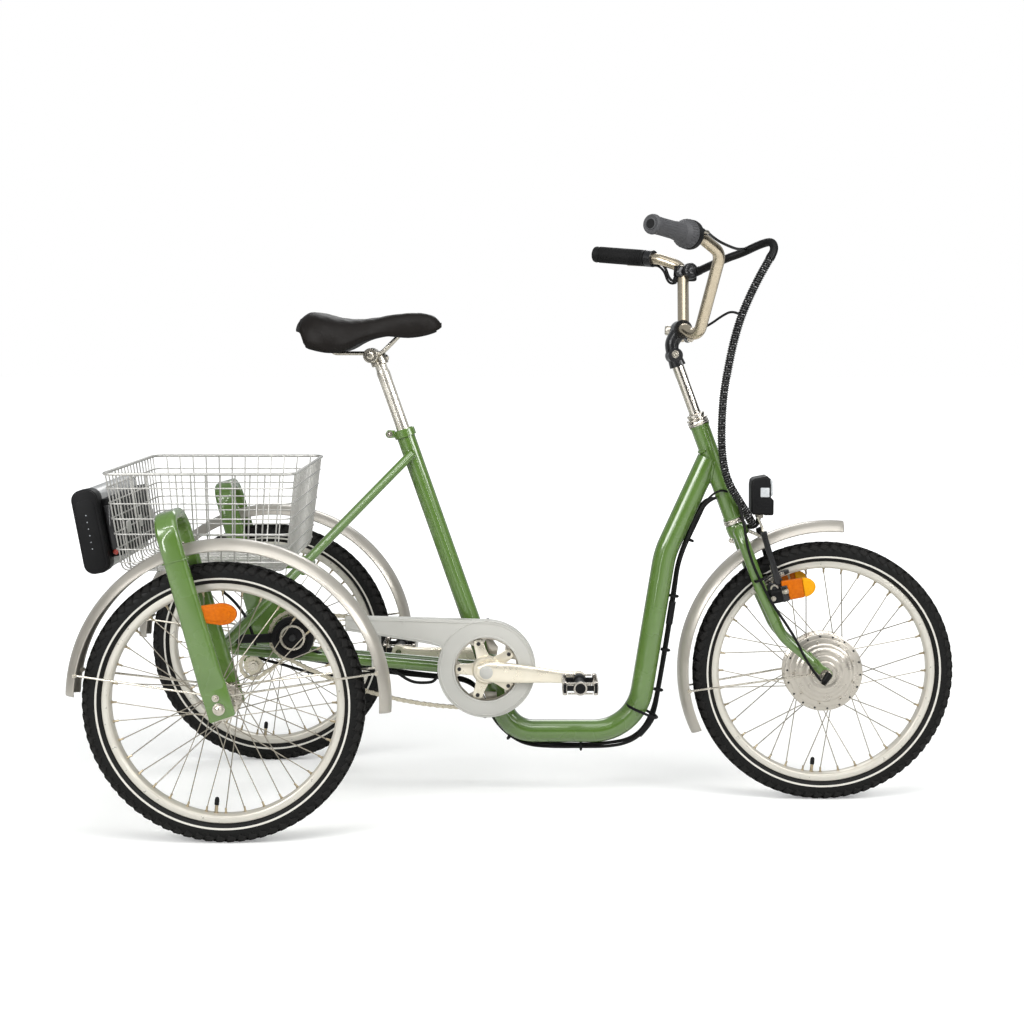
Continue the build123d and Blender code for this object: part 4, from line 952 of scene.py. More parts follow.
def make_welds():
    """Beads where the frame's tubes meet, round the wheel arches, and the rolled rings at the head tube's ends."""
    beads = Shape()
    cross_tube, cross_radius = Vector((-30, 0, 316)), 14
    main_low, main_high = Vector((800, 0, 478)), Vector((882, 0, 660))
    weld_bead(beads, crossing_line(main_low, main_high - main_low, main_tube_radius, steering_point(600),
                                   steering_axis, head_tube_radius, 60, 60), 2.8)
    weld_bead(beads, crossing_line(seat_point(360), seat_point(250) - seat_point(360), seat_tube_radius,
                                   bottom_bracket, (0, 1, 0), bracket_radius, 48), 2.8)
    corner = seat_point(130.5)
    weld_bead(beads, crossing_line(bottom_bracket + (corner - bottom_bracket) * 0.7, bottom_bracket - corner,
                                   main_tube_radius, bottom_bracket, (0, 1, 0), bracket_radius, 48), 2.8)
    for side in (-1, 1):
        stay_top = seat_point(669, side * 15)
        foot = Vector((-80 * math.sin(arch_lean), side * (half_track - arch_half_span),
                       axle_z + 80 * math.cos(arch_lean)))
        middle = (stay_top + foot) / 2
        weld_bead(beads, crossing_line(middle + (stay_top - middle) * 0.4, stay_top - middle, 8.5, seat_point(600),
                                       seat_point(700) - seat_point(600), seat_tube_radius, 30, 60), 2.0)
        stay = Vector((458, side * 22, 252))
        rear = Vector((-30, side * 22, 294))
        weld_bead(beads, crossing_line(rear + (stay - rear) * 0.6, stay - rear, 11, bottom_bracket, (0, 1, 0),
                                       bracket_radius, 30, 60), 2.2)
        weld_bead(beads, crossing_line(rear + (stay - rear) * 0.2, rear - stay, 11, cross_tube, (0, 1, 0),
                                       cross_radius, 30, 30), 2.2)
        inner = side * (half_track - arch_half_span - 10.5)
        spots = [polar(cross_radius + 0.6, step * math.pi / 16, cross_tube.x, cross_tube.z) for step in range(32)]
        weld_bead(beads, [Vector((x, inner, z)) for x, z in spots], 2.4)
    beads.lathe(steering_point(head_low_z), steering_axis, [(18.2, 0.6), (19.4, 0.9), (19.6, 3.6), (18.4, 4.2)], 0, 48)
    beads.lathe(steering_point(head_top_z), steering_axis, [(18.2, -4.4), (19.4, -3.9), (19.6, -1.0), (18.2, -0.6)], 0,
                48)
    piece("frame_weld_beads", [beads.mesh(enamel)], "frame", "green_paint")


# ---------------------------------------------------------------- fenders
fender_radius = 288          # of the crest of the strip
stay_radius = 269            # of the wire stays' screws, on its edges


def fender_section(half=30.0, sagitta=18.0, wall=1.3, hem=1.9):
    """Cross section of a rolled fender, (inward, across), with a rolled hem on each edge."""
    radius = (half * half + sagitta * sagitta) / (2 * sagitta)
    limit = math.asin(half / radius)
    outer, inner = [], []
    for step in range(17):
        angle = limit * (step / 8 - 1)
        outer.append((radius - radius * math.cos(angle), radius * math.sin(angle)))
        inner.append((radius - (radius - wall) * math.cos(angle), (radius - wall) * math.sin(angle)))
    section = list(outer)
    for end in (1, -1):
        centre = (sagitta + 0.4, end * (half - hem))
        arc = []
        for step in range(9):
            angle = math.radians(-50 + step * 29)
            arc.append((centre[0] + hem * math.sin(angle), centre[1] + end * hem * math.cos(angle)))
        if end > 0:
            section += arc + list(reversed(inner))
        else:
            section += list(reversed(arc))
    return section


def fender_strip(shape, centre, start, end):
    """Rolled strip round a wheel centre between two angles, its ends' corners cut round."""
    steps = int((end - start) / 1.5)
    angles = [start + (end - start) * index / steps for index in range(steps + 1)]
    for extra in (0.5, 1.1):
        angles = sorted(angles + [start + extra, end - extra])
    path = [round_angle(centre, fender_radius, angle) for angle in angles]
    scales = []
    for angle in angles:
        near_end = min(angle - start, end - angle) / 2.0
        narrow = 1 - 0.2 * (1 - math.sqrt(max(0.0, 1 - (1 - min(1, near_end)) ** 2)))
        scales.append((1, narrow))
    shape.sweep(path, fender_section(), (0, 1, 0), 0, scales)


def stay_screw(hardware, tip, edge):
    """The screw and nut that hold a wire stay on the edge of a fender."""
    hardware.rod(tip - sideways(edge * 4), tip + sideways(edge * 3.4), 4.2, 0, 16)
    hardware.hex_head(tip + sideways(edge * 2.4), (0, edge, 0), 6.5, 3)


def make_rear_fender(name, side):
    y = side * half_track
    centre = Vector((8, y, axle_z + 4))
    strip = Shape()
    fender_strip(strip, centre, -4, 178)
    hardware = Shape()
    crest = Vector((-(arch_height - 10) * math.sin(arch_lean), y, axle_z + (arch_height - 10) * math.cos(arch_lean)))
    out = (crest - centre).normalized()
    hardware.rod(centre + out * (fender_radius - 2), crest + out * 2, 6.5, 0, 20)
    hardware.rod(centre + out * (fender_radius - 0.4), centre + out * 291, 11, 0, 20)
    bolt(hardware, centre + out * 286.4, -out, 10, 4)
    lines = []
    for angle in (11.5, 169.5):
        for edge in (-1, 1):
            tip = round_angle(centre, stay_radius, angle, edge * 30.5)
            root = Vector((-4 if angle > 90 else 4, y + edge * (arch_half_span - 6), axle_z + 20))
            bend = tip + (root - tip).normalized() * 14
            lines.append([tip, bend, root + (tip - root).normalized() * 10, root])
            stay_screw(hardware, tip, edge)
            hardware.washer(root - sideways(edge * 2.6), (0, edge, 0), 3.2, 6.6, 0, 5.2, 0, 18)
    piece(f"rear_fender_{name}_strip", [strip.mesh(fender_paint), hardware.mesh(plated), wired(lines, 2.0, plated, 8)],
          "frame", "silver_paint", f"rear_fender_{name}", crease=28)


# ---------------------------------------------------------------- basket and its carrier
basket_bottom, basket_height = 465, 185


def basket_corner(level):
    """Rear x, front x, half width and corner radius of the basket at a height level from 0 (floor) to 1 (rim)."""
    inset = 2.2                              # the wires run inside the basket's outer size
    return -205 - 24 * level + inset, 99 + 22 * level - inset, 220 + 27 * level - inset, 16 + 8 * level


def basket_ring(z):
    rear, front, half, radius = basket_corner((z - basket_bottom) / basket_height)
    outline = soft_rectangle(front - rear, 2 * half, radius, 4)
    middle = (front + rear) / 2
    points = [Vector((middle + x, y, z)) for x, y in outline]
    return points + [points[0]]


def make_basket():
    """Rings, cross wires and long wires, the rim, and the plates that hold it to its carrier."""

    lines = [basket_ring(z) for z in (622, 594, 566, 538, 510, 486)]
    rear0, front0, half0, _ = basket_corner(0)
    rear1, front1, half1, _ = basket_corner(1)
    floor_z, rim_z = 467, 649
    cross_wires, long_wires = 12, 17
    for index in range(cross_wires):
        share = (index + 0.5) / cross_wires
        x0 = rear0 + 10 + (front0 - rear0 - 20) * share
        x1 = rear1 + 12 + (front1 - rear1 - 24) * share
        lines.append(rounded([(x1, -half1 + 1.6, rim_z), (x0, -half0 + 1.6, floor_z), (x0, half0 - 1.6, floor_z),
                              (x1, half1 - 1.6, rim_z)], [12, 12], 6))
    for index in range(long_wires):
        share = (index + 0.5) / long_wires
        y0 = -half0 + 8 + (2 * half0 - 16) * share
        y1 = -half1 + 12 + (2 * half1 - 24) * share
        lines.append(rounded([(rear1 + 1.6, y1, rim_z), (rear0 + 1.6, y0, floor_z + 2.2),
                              (front0 - 1.6, y0, floor_z + 2.2), (front1 - 1.6, y1, rim_z)], [12, 12], 6))
    parts = [wired(lines, 1.45, zinc, 6), wired([basket_ring(648)], 2.9, zinc, 10)]
    feet = Shape()
    for x in (-150, 45):
        for y in (-60, 60):
            feet.block((x, y, 467.6), (34, 16, 3), 1.2)
            bolt(feet, (x, y, 469.6), (0, 0, 1), 8, 4)
    for y in (-110, 0, 110):
        feet.block((-207.5, y, 540), (3, 30, 22), 1.0, 0, turned(-7.4))
    parts.append(feet.mesh(zinc))
    piece("basket_wire_mesh", parts, "frame", "zinc_wire", "basket")


# ---------------------------------------------------------------- battery
battery_foot = Vector((-205.07, 0, 470))
battery_turn = turned(-10)


def on_battery(shape, form, *sizes, **settings):
    """Adds one form to a shape in the battery's own frame, then tilts and moves it to the basket's rear wall."""
    start = len(shape.points)
    form(*sizes, **settings)
    for index in range(start, len(shape.points)):
        shape.points[index] = battery_turn @ shape.points[index] + battery_foot


def battery_slab(shape, width, height, radius, steps, y_low, y_high, bevel, slot=0, middle=(-45.5, 76)):
    outline = [(x + middle[0], z + middle[1]) for x, z in soft_rectangle(width, height, radius, steps)]
    on_battery(shape, shape.prism, outline, y_low, y_high, bevel, slot, segments=3)


def make_battery():
    case = Shape()
    battery_slab(case, 47, 152, 18, 10, -141, 171, 0.8)
    battery_slab(case, 47, 152, 18, 10, 172, 183, 4, 1)
    for y in (-120, 150):
        on_battery(case, case.block, (-69.4, y, 76), (1.6, 3, 104), 0.6)
    for z in (44, 60, 92, 108):
        on_battery(case, case.block, (-69.2, 15, z), (1.4, 300, 5), 0.6)
    piece("battery_shell", [case.mesh(battery_shell, black_plastic)], "frame", "aluminium", "battery_case")

    cap = Shape()
    rail = (-11.6, 76)
    battery_slab(cap, 49, 156, 19, 10, -179, -141, 2.4)
    battery_slab(cap, 46, 153, 17.5, 10, -183, -178, 1.6)
    battery_slab(cap, 37, 130, 13, 8, -183.8, -181, 0.8, 0, (-46.5, 70))
    battery_slab(cap, 25, 108, 3, 3, -153, 153, 1.6, 0, rail)
    battery_slab(cap, 16, 84, 3, 3, -158, -150, 1.2, 1, rail)
    for index in range(6):
        on_battery(cap, cap.lathe, (-46.5, -184.6, 45 + index * 12.4), (0, 1, 0), [(0, 0), (0.9, 0), (1.2, 0.5),
                                                                                   (1.2, 1.4), (0, 1.4)], 2, 14)
    on_battery(cap, cap.lathe, (-11.6, -160.5, 30), (0, 1, 0), [(0, 0), (4, 0), (5, 1), (5, 4), (0, 4)], 3, 20)
    for y in (-150, 150):
        for z in (36, 116):
            on_battery(cap, cap.lathe, (-24.2, y, z), (-1, 0, 0), [(0, 0), (3.4, 0), (2.8, 2), (0, 2)], 2, 14)
    piece("battery_cap_and_rail", [cap.mesh(black_plastic, black_metal, pale_print, red_lens)], "frame",
          "black_plastic", "battery_mount")


def make_rear_reflectors():
    lenses = Shape()
    for side in (-1, 1):
        y = side * (half_track + arch_half_span)
        nose = [(10 + 27 * math.cos(math.radians(a)), 19 * math.sin(math.radians(a))) for a in range(-90, 91, 10)]
        for share, half in ((1.0, 6), (0.72, 6.9)):
            lens = [(2 + (x - 2) * share - 4, z * share + 416) for x, z in [(-28, 14)] + list(reversed(nose))
                    + [(-28, -14)]]
            lenses.prism(lens, y - half - side * 3, y + half - side * 3, 1.6, 0, segments=3)
    piece("rear_reflector_lenses", [lenses.mesh(amber)], "frame", "amber_plastic", "rear_reflectors")


def make_rear_end():
    for name, side in (("left", 1), ("right", -1)):
        piece(f"wheel_arch_{name}_tube", [make_arch(side)], "frame", "green_paint", f"wheel_arch_{name}")
        make_rear_fender(name, side)
    make_axle_fixings()
    make_welds()
    make_basket()
    make_battery()
    make_rear_reflectors()


make_rear_end()


# ---------------------------------------------------------------- drive
chain_plane = -47
link_pitch = 12.7


def tangent_loop(first, r1, second, r2, sag=0.0, steps=10):
    """Closed line round two sprockets in (x, z); the lower run hangs by sag."""
    first, second = Vector(first), Vector(second)
    apart = second - first
    way = apart.normalized()
    square = Vector((-way.y, way.x))
    lean = (r1 - r2) / apart.length
    upper = way * lean + square * math.sqrt(1 - lean * lean)
    lower = way * lean - square * math.sqrt(1 - lean * lean)

    def arc(centre, radius, start, end, count):
        a, b = math.atan2(start.y, start.x), math.atan2(end.y, end.x)
        while b > a:
            b -= 2 * math.pi
        return [centre + Vector((math.cos(a + (b - a) * k / count), math.sin(a + (b - a) * k / count))) * radius
                for k in range(1, count)]

    def run(start, end, drop):
        return [start.lerp(end, k / steps) - Vector((0, 4 * drop * (k / steps) * (1 - k / steps)))
                for k in range(steps + 1)]
    return (run(first + upper * r1, second + upper * r2, 0) + arc(second, r2, upper, lower, 40)
            + run(second + lower * r2, first + lower * r1, sag) + arc(first, r1, lower, upper, 24))


def link_shape(wide):
    """One pair of side plates with its two pins' rollers, lying along x about the origin."""
    shape = Shape()
    half = link_pitch / 2
    outline = []
    for end in (1, -1):
        for step in range(9):
            outline.append(polar(3.9, math.pi * (step / 8 - end / 2), end * half))
        outline.append((0, end * 2.9))
    inner = 2.5 if wide else 1.6
    for side in (-1, 1):
        shape.prism(outline, side * inner, side * (inner + 0.85), 0)
        if wide:
            for x in (-half, half):
                shape.lathe((x, side * 3.2, 0), (0, side, 0), [(0, 0), (1.8, 0), (1.4, 0.7), (0, 0.7)], 0, 8)
    if not wide:
        for x in (-half, half):
            shape.washer((x, -1.7, 0), (0, 1, 0), 0, 3.1, 0, 3.4, 0, 10)
    return shape


def hidden_object(mesh):
    """An object for a geometry tree to copy; it is removed once the copies are made."""
    made = bpy.data.objects.new("pattern", mesh)
    bpy.context.scene.collection.objects.link(made)
    return made


def poly_curve(points):
    """A closed curve of straight runs through the points."""
    curve = bpy.data.curves.new("loop", "CURVE")
    curve.dimensions = "3D"
    spline = curve.splines.new("POLY")
    spline.points.add(len(points) - 1)
    for place, point in zip(spline.points, points):
        place.co = (*point, 1)
    spline.use_cyclic_u = True
    return curve


def chain_links(loop, y, coating):
    """Inner and outer links in turn along a closed line of (x, z)."""
    points = [at(x, y, z) for x, z in loop]
    length = sum((b - a).length for a, b in zip(points, points[1:] + points[:1]))
    count = 2 * round(length / (link_pitch * MM) / 2)
    meshes = []
    for phase, wide in ((0, True), (1, False)):
        pattern = hidden_object(link_shape(wide).mesh(coating, origin=(0, 0, 0)))
        meshes.append(grown(along_loop, poly_curve(points), Link=pattern, Count=count, Phase=phase, Coating=coating))
        bpy.data.objects.remove(pattern)
    return meshes


def make_chains():
    hub_spot = gear_hub_centre.xz
    front = tangent_loop(hub_spot, 46, bottom_bracket.xz, 77, sag=24)
    piece("front_chain_links", chain_links(front, chain_plane, chain_steel), "frame", "chain_steel", "front_chain",
          crease=40)
    rear = tangent_loop((0, axle_z), 25, hub_spot, 30)
    piece("rear_chain_links", chain_links(rear, 43, chain_steel), "frame", "chain_steel", "rear_chain", crease=40)


def toothed(radius_in, radius_out, teeth, y_low, y_high, centre, shape, slot=0, windows=0):
    """Sprocket plate: low teeth round its edge, bored in the middle, lightened by round windows."""
    outline = []
    for tooth in range(teeth * 4):
        angle = 2 * math.pi * tooth / (teeth * 4)
        outline.append(polar(radius_out if tooth % 4 in (1, 2) else radius_out - 2.2, angle))
    middle = (radius_in + radius_out) / 2
    holes = [(0, 0, radius_in)]
    for window in range(windows):
        holes.append((*polar(middle, 2 * math.pi * window / windows), (radius_out - radius_in) * 0.27))
    shape.prism(outline, y_low, y_high, 0.4, slot, holes=holes, place=centre, segments=1)
    return shape


def make_gear_hub():
    hub = Shape()
    x, z = gear_hub_centre.x, gear_hub_centre.z
    profile = [(6.1, -52), (12, -52), (13.4, -51), (13.6, -49.4), (13.6, -38.4), (15, -38), (22.4, -37.6),
               (23.8, -36.4), (24, -34), (23.4, -31), (21.2, -28), (20.4, -22), (20.2, 0), (20.4, 22), (21.2, 28),
               (23.4, 31), (24, 33), (23.8, 35), (22.4, 36), (15, 36.4), (13.6, 37), (13.6, 49.4), (13.4, 51),
               (12, 52), (6.1, 52)]
    hub.lathe((x, 0, z), (0, 1, 0), profile, 0, 48)
    toothed(14, 41.6, 22, -49, -45, (x, 0, z), hub, 1, windows=7)
    toothed(14, 25.6, 15, 41, 45, (x, 0, z), hub, 1)
    piece("gear_hub_shell", [hub.mesh(forged, chain_steel)], "gear_hub", "steel", "gear_hub")

    axle = Shape()
    axle.rod((x, -66, z), (x, 68, z), 6, 0, 20)
    cap_nut(axle, (x, 61, z), (0, 1, 0), 13)
    piece("gear_hub_axle_nuts", [axle.mesh(plated)], "frame", "steel", "gear_hub_axle")


def make_torque_arm():
    """The flat arm that holds the gear hub's axle, with the round cover at its end."""
    x, z = gear_hub_centre.x, gear_hub_centre.z
    arm = Shape()
    strap = [(-40, 321), (-37, 313.5), (-28, 311), (20, 312), (60, 313), (86, 313), (86, 333), (60, 331), (20, 328.6),
             (-28, 328), (-37, 327)]
    arm.prism(strap, -61, -56.4, 1.2, 0)
    cap_profile = [(24.4, -70.8), (30, -71.2), (31, -75.6), (33, -76), (37, -75.6), (39.4, -73.6), (40, -71),
                   (40, -64), (39, -61), (27, -61), (0, -61)]
    arm.lathe((x, 0, z), (0, 1, 0), cap_profile, 0, 64, closed=False)
    arm.lathe((x, 0, z), (0, 1, 0), [(24.8, -70), (24.8, -72.6), (24, -73.4), (20.4, -73.4), (19.6, -72.6),
                                     (19.6, -70)], 1, 64)
    arm.lathe((x, 0, z), (0, 1, 0), [(19.8, -70), (19.8, -71), (18.4, -71.4), (18, -75.4), (16.8, -76), (8, -76),
                                     (7, -74.6), (0, -74.6)], 0, 48, closed=False)
    arm.lathe((x, 0, z), (0, 1, 0), [(0, -76.4), (6.4, -76.4), (7, -75.6), (7, -73), (0, -73)], 2, 20)
    bolt(arm, (-30, -61, 320), (0, -1, 0), 9, 4, 1)
    piece("torque_arm_and_cover", [arm.mesh(black_plastic, plated, black_metal)], "frame", "black_plastic",
          "torque_arm")


def make_drive_axle():
    axle = Shape()
    axle.rod((0, 34, axle_z), (0, 389.5, axle_z), 6, 0, 20)
    cap_nut(axle, (0, 383.6, axle_z), (0, 1, 0), 15)
    toothed(6, 20.6, 12, 41, 45, (0, 0, axle_z), axle, 1)
    axle.washer((0, 36, axle_z), (0, 1, 0), 6, 10, 0, 5, 0, 24)
    axle.lathe((0, 45, axle_z), (0, 1, 0), [(6, 0), (13, 0), (13, 10), (11, 14), (6, 14)], 0, 24)
    piece("drive_axle_and_sprocket", [axle.mesh(plated, chain_steel)], "rear_wheel_left", "steel", "drive_axle")


def make_chainring():
    ring = Shape()
    centre = bottom_bracket
    toothed(58.5, 72.4, 38, -49, -45, centre, ring, 0)
    arms, first_arm = 5, -37
    for arm in range(arms):
        middle = math.radians(first_arm + 360 / arms * arm)
        tab = []
        for radius, half_angle in ((22, 38), (27, 28), (34, 19), (42, 14), (48, 12), (55, 9.6), (60.5, 6.0)):
            tab.append((radius, math.radians(half_angle)))
        left = [polar(radius, middle + half) for radius, half in tab]
        right = [polar(radius, middle - half) for radius, half in reversed(tab)]
        ring.prism(left + right, -53.4, -49.2, 1.1, 1, place=centre)
        lug = [polar(8.4, 2 * math.pi * k / 16, *polar(54.5, middle)) for k in range(16)]
        ring.prism(lug, -49.4, -45.2, 0.6, 0, place=centre)
        x, z = polar(52, middle, centre.x, centre.z)
        spot = Vector((x, -53.2, z))
        ring.lathe(spot, (0, -1, 0), [(0, 0), (3.8, 0), (3.8, 0.9), (2.9, 1.4), (2.2, 1.4), (1.9, 0.4), (0, 0.4)], 2,
                   18)
        web = [polar(59.5, middle + math.radians(-17 + 34 * step / 8)) for step in range(9)]
        web += [polar(50, middle + math.radians(11 - 22 * step / 8)) for step in range(9)]
        ring.prism(web, -48.8, -45.2, 0.8, 0, place=centre)
    ring.lathe(centre, (0, 1, 0), [(17.2, -61), (24, -60.4), (27, -57), (28, -53), (28, -49), (22, -45), (9.2, -45),
                                   (9.2, -58)], 1, 56)
    piece("chainring_and_spider", [ring.mesh(forged, forged_bright, black_metal)], "crank", "aluminium", "chainring")


def crank_frame(side):
    """Root of the crank on one side, and the crank's direction; it stands a little below level."""
    angle = math.radians(-4.2 + (0 if side < 0 else 180))
    along = Vector((math.cos(angle), 0, math.sin(angle)))
    return bottom_bracket + sideways(side * 72), along


def make_cranks():
    """Both arms, thick at the root and slim before the eye, on the spindle."""

    arms = Shape()
    for side in (-1, 1):
        root, along = crank_frame(side)
        path, scales = [], []
        for share, half_width, half_depth, bow in (
                (-0.10, 11, 8.4, 0), (-0.05, 17.8, 10.6, 0), (0.03, 19.6, 11, 0), (0.10, 19.4, 10.4, 0.4),
                (0.2, 18.8, 8.8, 1.6), (0.35, 17.4, 7.2, 2.8), (0.55, 14.8, 6.4, 3.2), (0.75, 12.2, 6.0, 2.2),
                (0.88, 11.0, 6.2, 0.8), (0.96, 12.0, 6.8, 0), (1.03, 12.2, 6.8, 0), (1.07, 8.0, 5.6, 0)):
            path.append(root + along * (crank_length * share) + sideways(-side * bow))
            scales.append((half_width, half_depth))
        smooth_path = settled(path, 5)
        steps = len(smooth_path) - 1
        smooth_scales = []
        for index in range(steps + 1):
            place = index / steps * (len(scales) - 1)
            low = min(int(place), len(scales) - 2)
            part = place - low
            smooth_scales.append(tuple(scales[low][k] * (1 - part) + scales[low + 1][k] * part for k in (0, 1)))
        section = soft_rectangle(2, 2, 0.62, 5)
        arms.sweep(smooth_path, section, (0, 1, 0), 0, smooth_scales)
        eye = root + along * crank_length
        arms.lathe(eye - sideways(7), (0, 1, 0), [(6.1, 0), (12.2, 0), (13, 0.8), (13, 13.2), (12.2, 14), (6.1, 14)],
                   0, 40)
        arms.lathe(root + sideways(side * 5), (0, side, 0), [(0, 0), (12.6, 0), (12.6, 6.4), (11.6, 7.2), (4, 7.6),
                                                             (0, 7.6)], 1, 40)
        arms.lathe(root - sideways(side * 2), (0, side, 0), [(0, -9), (16.8, -9), (17, 7), (15.6, 8.6), (13.4, 9.2),
                                                             (0, 9.2)], 0, 48)
    half_spindle = sideways(70)
    arms.rod(bottom_bracket - half_spindle, bottom_bracket + half_spindle, 8.8, 2, 24)
    piece("crank_arms_forged", [arms.mesh(forged_bright, case_plastic, plated)], "crank", "aluminium", "crank_arms",
          crease=40)


def make_pedal(name, side):
    """Barrel on its spindle, with a toothed cage plate before and behind."""

    root, along = crank_frame(side)
    eye = root + along * crank_length
    inside = eye.y + side * 12
    x, z = eye.x, eye.z
    pedal = Shape()
    low, high = sorted((inside + side * 1, inside + side * 91.5))
    barrel = sorted((inside + side * 2, inside + side * 90))
    pedal.lathe((x, barrel[0], z), (0, 1, 0), [(0, 0), (11, 0), (12.4, 1.6), (12.4, 20), (9, 24), (8.4, 44), (9, 64),
                                               (12.4, 68), (12.4, 86.4), (11, 88), (0, 88)], 1, 32)
    for end in (-1, 1):
        base = x + end * 31.5
        pedal.block((base, (low + high) / 2, z), (2.4, high - low - 6, 17), 0.8, 0)
        for edge in (-1, 1):
            for tooth in range(11):
                y = low + 7 + tooth * (high - low - 14) / 10
                pedal.prism([(-1.2, 0), (1.2, 0), (1.2, 3.6), (-1.2, 3.6)], -2.6, 2.6, 0.5, 0,
                            place=(base, y, z + edge * 10.6 - 1.8), segments=1)
        for y in (low + 4.2, high - 4.2):
            pedal.block((x + end * 22, y, z), (22, 4, 10), 1.4, 1)
            pedal.block((x + end * 28.4, y, z), (8.4, 7, 25.4), 2.6, 0)
            pedal.block((x + end * 28.6, y + (3 if y > (low + high) / 2 else -3), z), (5.4, 2.4, 17), 0.8, 1)
    for y, out in ((low + 1.4, -1), (high - 1.4, 1)):
        pedal.lathe((x, y - out * 3, z), (0, out, 0), [(9.6, 0), (12.4, 0), (13, 0.8), (13, 3.2), (12.2, 4), (9.6, 4)],
                    0, 36)
        pedal.lathe((x, y - out * 2, z), (0, out, 0), [(0, 0), (9.4, 0), (9.4, 2.2), (6.4, 2.8), (5.8, 1.8), (0, 1.8)],
                    1, 24)
        for bar in (-1, 1):
            pedal.block((x, y - out * 2, z + bar * 9.6), (46, 2.2, 3.4), 0.7, 0)
    spindle_start, spindle_end = sorted((eye.y - side * 6.9, inside + side * 4))
    pedal.rod((x, spindle_start, z), (x, spindle_end, z), 5.9, 0, 20)
    pedal.washer((x, eye.y + side * 7.2, z), (0, side, 0), 5.9, 8.6, 0, 4.4, 0, 6)
    piece(f"pedal_{name}_cage", [pedal.mesh(pedal_alloy, black_plastic)], f"pedal_{name}", "black_plastic",
          f"pedal_{name}")


case_centre = Vector((458, 262))
case_front, case_back = -60.0, -38.2


def case_outline(inset=0.0):
    """Outline of the chain case in (x, z): the tail's lower corner, round the disc, back along the top."""
    radius = 93.4 - inset
    points = [(190 + inset, 336 + inset), (250, 327.0 + inset), (320, 315.4 + inset), (352, 309.8 + inset),
              (366, 306.2 + inset * 0.6), (374.5, 302.4)]
    for step in range(1, 61):
        points.append(polar(radius, math.radians(154 + 296 * step / 61), *case_centre))
    points += [polar(radius, math.radians(89), *case_centre), (330, 359.0 - inset), (190 + inset, 362.5 - inset)]
    return [Vector(point) for point in points]


def offset_line(points, distance):
    """Moves an open line sideways, to the right of its direction."""
    moved = []
    for index, point in enumerate(points):
        before, after = points[max(0, index - 1)], points[min(len(points) - 1, index + 1)]
        way = (after - before).normalized()
        moved.append(point + Vector((way.y, -way.x)) * distance)
    return moved


def make_chain_case():
    """The front plate round the chainring and its tail, the wall that runs behind it, beads, hooks and tabs."""

    case = Shape()
    outline = case_outline()
    front, back = case_front, case_back
    case.prism([tuple(point) for point in outline], front, front + 2.0, 1.3, 0, holes=[(*case_centre, 61.5)],
               segments=3)
    for low, high in ((0, 16), (23, len(outline))):
        run = outline[low:high]
        inner = offset_line(run, -2.0)
        rows = []
        for a, b in zip(run, inner):
            rows.append([(a.x, front + 1, a.y), (a.x, back + 0.6, a.y),
                         (a.x * 0.7 + b.x * 0.3, back, a.y * 0.7 + b.y * 0.3), (b.x, back, b.y),
                         (b.x, front + 1, b.y)])
        case.grid(rows, 0, close_columns=True)
        case.face(list(reversed(rows[0])), 0)
        case.face(rows[-1], 0)
    bead = [Vector((point.x, front - 0.1, point.y)) for point in case_outline(5.2)]
    case.tube(bead, 1.0, 0, 8)
    middle = (case_centre.x, 0, case_centre.y)
    case.lathe(middle, (0, 1, 0), [(61.2, front + 2.4), (61.0, front + 0.6), (61.4, front - 0.5), (62.6, front - 0.8),
                                   (64.6, front - 0.6), (65.4, front + 0.6)], 0, 72)
    case.lathe(middle, (0, 1, 0), [(91.6, front + 1), (91.6, front - 0.7), (92.2, front - 1.1), (93.0, front - 0.6),
                                   (93.3, front + 1)], 0, 96)
    hooks = Shape()
    for angle in (88.5, -92):
        spot = round_angle(middle, 93.6, angle, -49)
        way = round_angle((0, 0, 0), 1, angle)
        hooks.block(spot, (9, 8, 3.4), 1.0, 0)
        hooks.lathe(spot, way, [(0, 0), (2.6, 0), (2.6, 2.6), (0, 2.8)], 1, 14)
    hooks.prism([(238, 262), (256, 262), (256, 322), (238, 325)], -38, -33.4, 0.8, 0)
    for tab in ([(455, 320), (461, 288.6), (477, 285), (480, 300.7), (466, 320)],
                [(452, 215), (458, 196), (478.6, 193), (477, 213.5)]):
        hooks.prism(tab, -35, -33, 0.6, 2)
    for x, z in ((470, 352), (300, 352)):
        hooks.lathe((x, -60.4, z), (0, -1, 0), [(0, 0), (2.4, 0), (2.0, 0.9), (0, 0.9)], 0, 14)
    piece("chain_case_shell", [case.mesh(case_plastic), hooks.mesh(case_plastic, black_metal, motor_shell)], "frame",
          "grey_plastic", "chain_case")


def make_bottom_bracket_cups():
    cups = Shape()
    for side in (-1, 1):
        cups.lathe(bottom_bracket + sideways(side * 34), (0, side, 0), [(9.4, -4), (19.6, -4), (20.4, 0), (20.4, 3.4),
                                                                        (18.8, 4.4), (12, 5.2), (9.4, 5.2)], 0, 48)
        for notch in range(6):
            cups.block(round_angle(bottom_bracket, 18.8, 60 * notch, side * 38.4), (3.6, 2, 3.6), 0.5, 0,
                       turned(-60 * notch))
    piece("bottom_bracket_cups", [cups.mesh(plated)], "frame", "steel")


make_chains()
make_gear_hub()
make_torque_arm()
make_drive_axle()
make_chainring()
make_cranks()
make_pedal("right", -1)
make_pedal("left", 1)
make_chain_case()
make_bottom_bracket_cups()


# ---------------------------------------------------------------- fork, front fender, brake, lamp
def wheel_spot(radius, degrees, y=0.0):
    """A point beside the front axle, at an angle from ahead towards up."""
    return round_angle(front_hub, radius, degrees, y)


brake_pivot = wheel_spot(171, 117.4)
arm_top = (293, 114.1)                       # radius and angle of the brake arms' tops


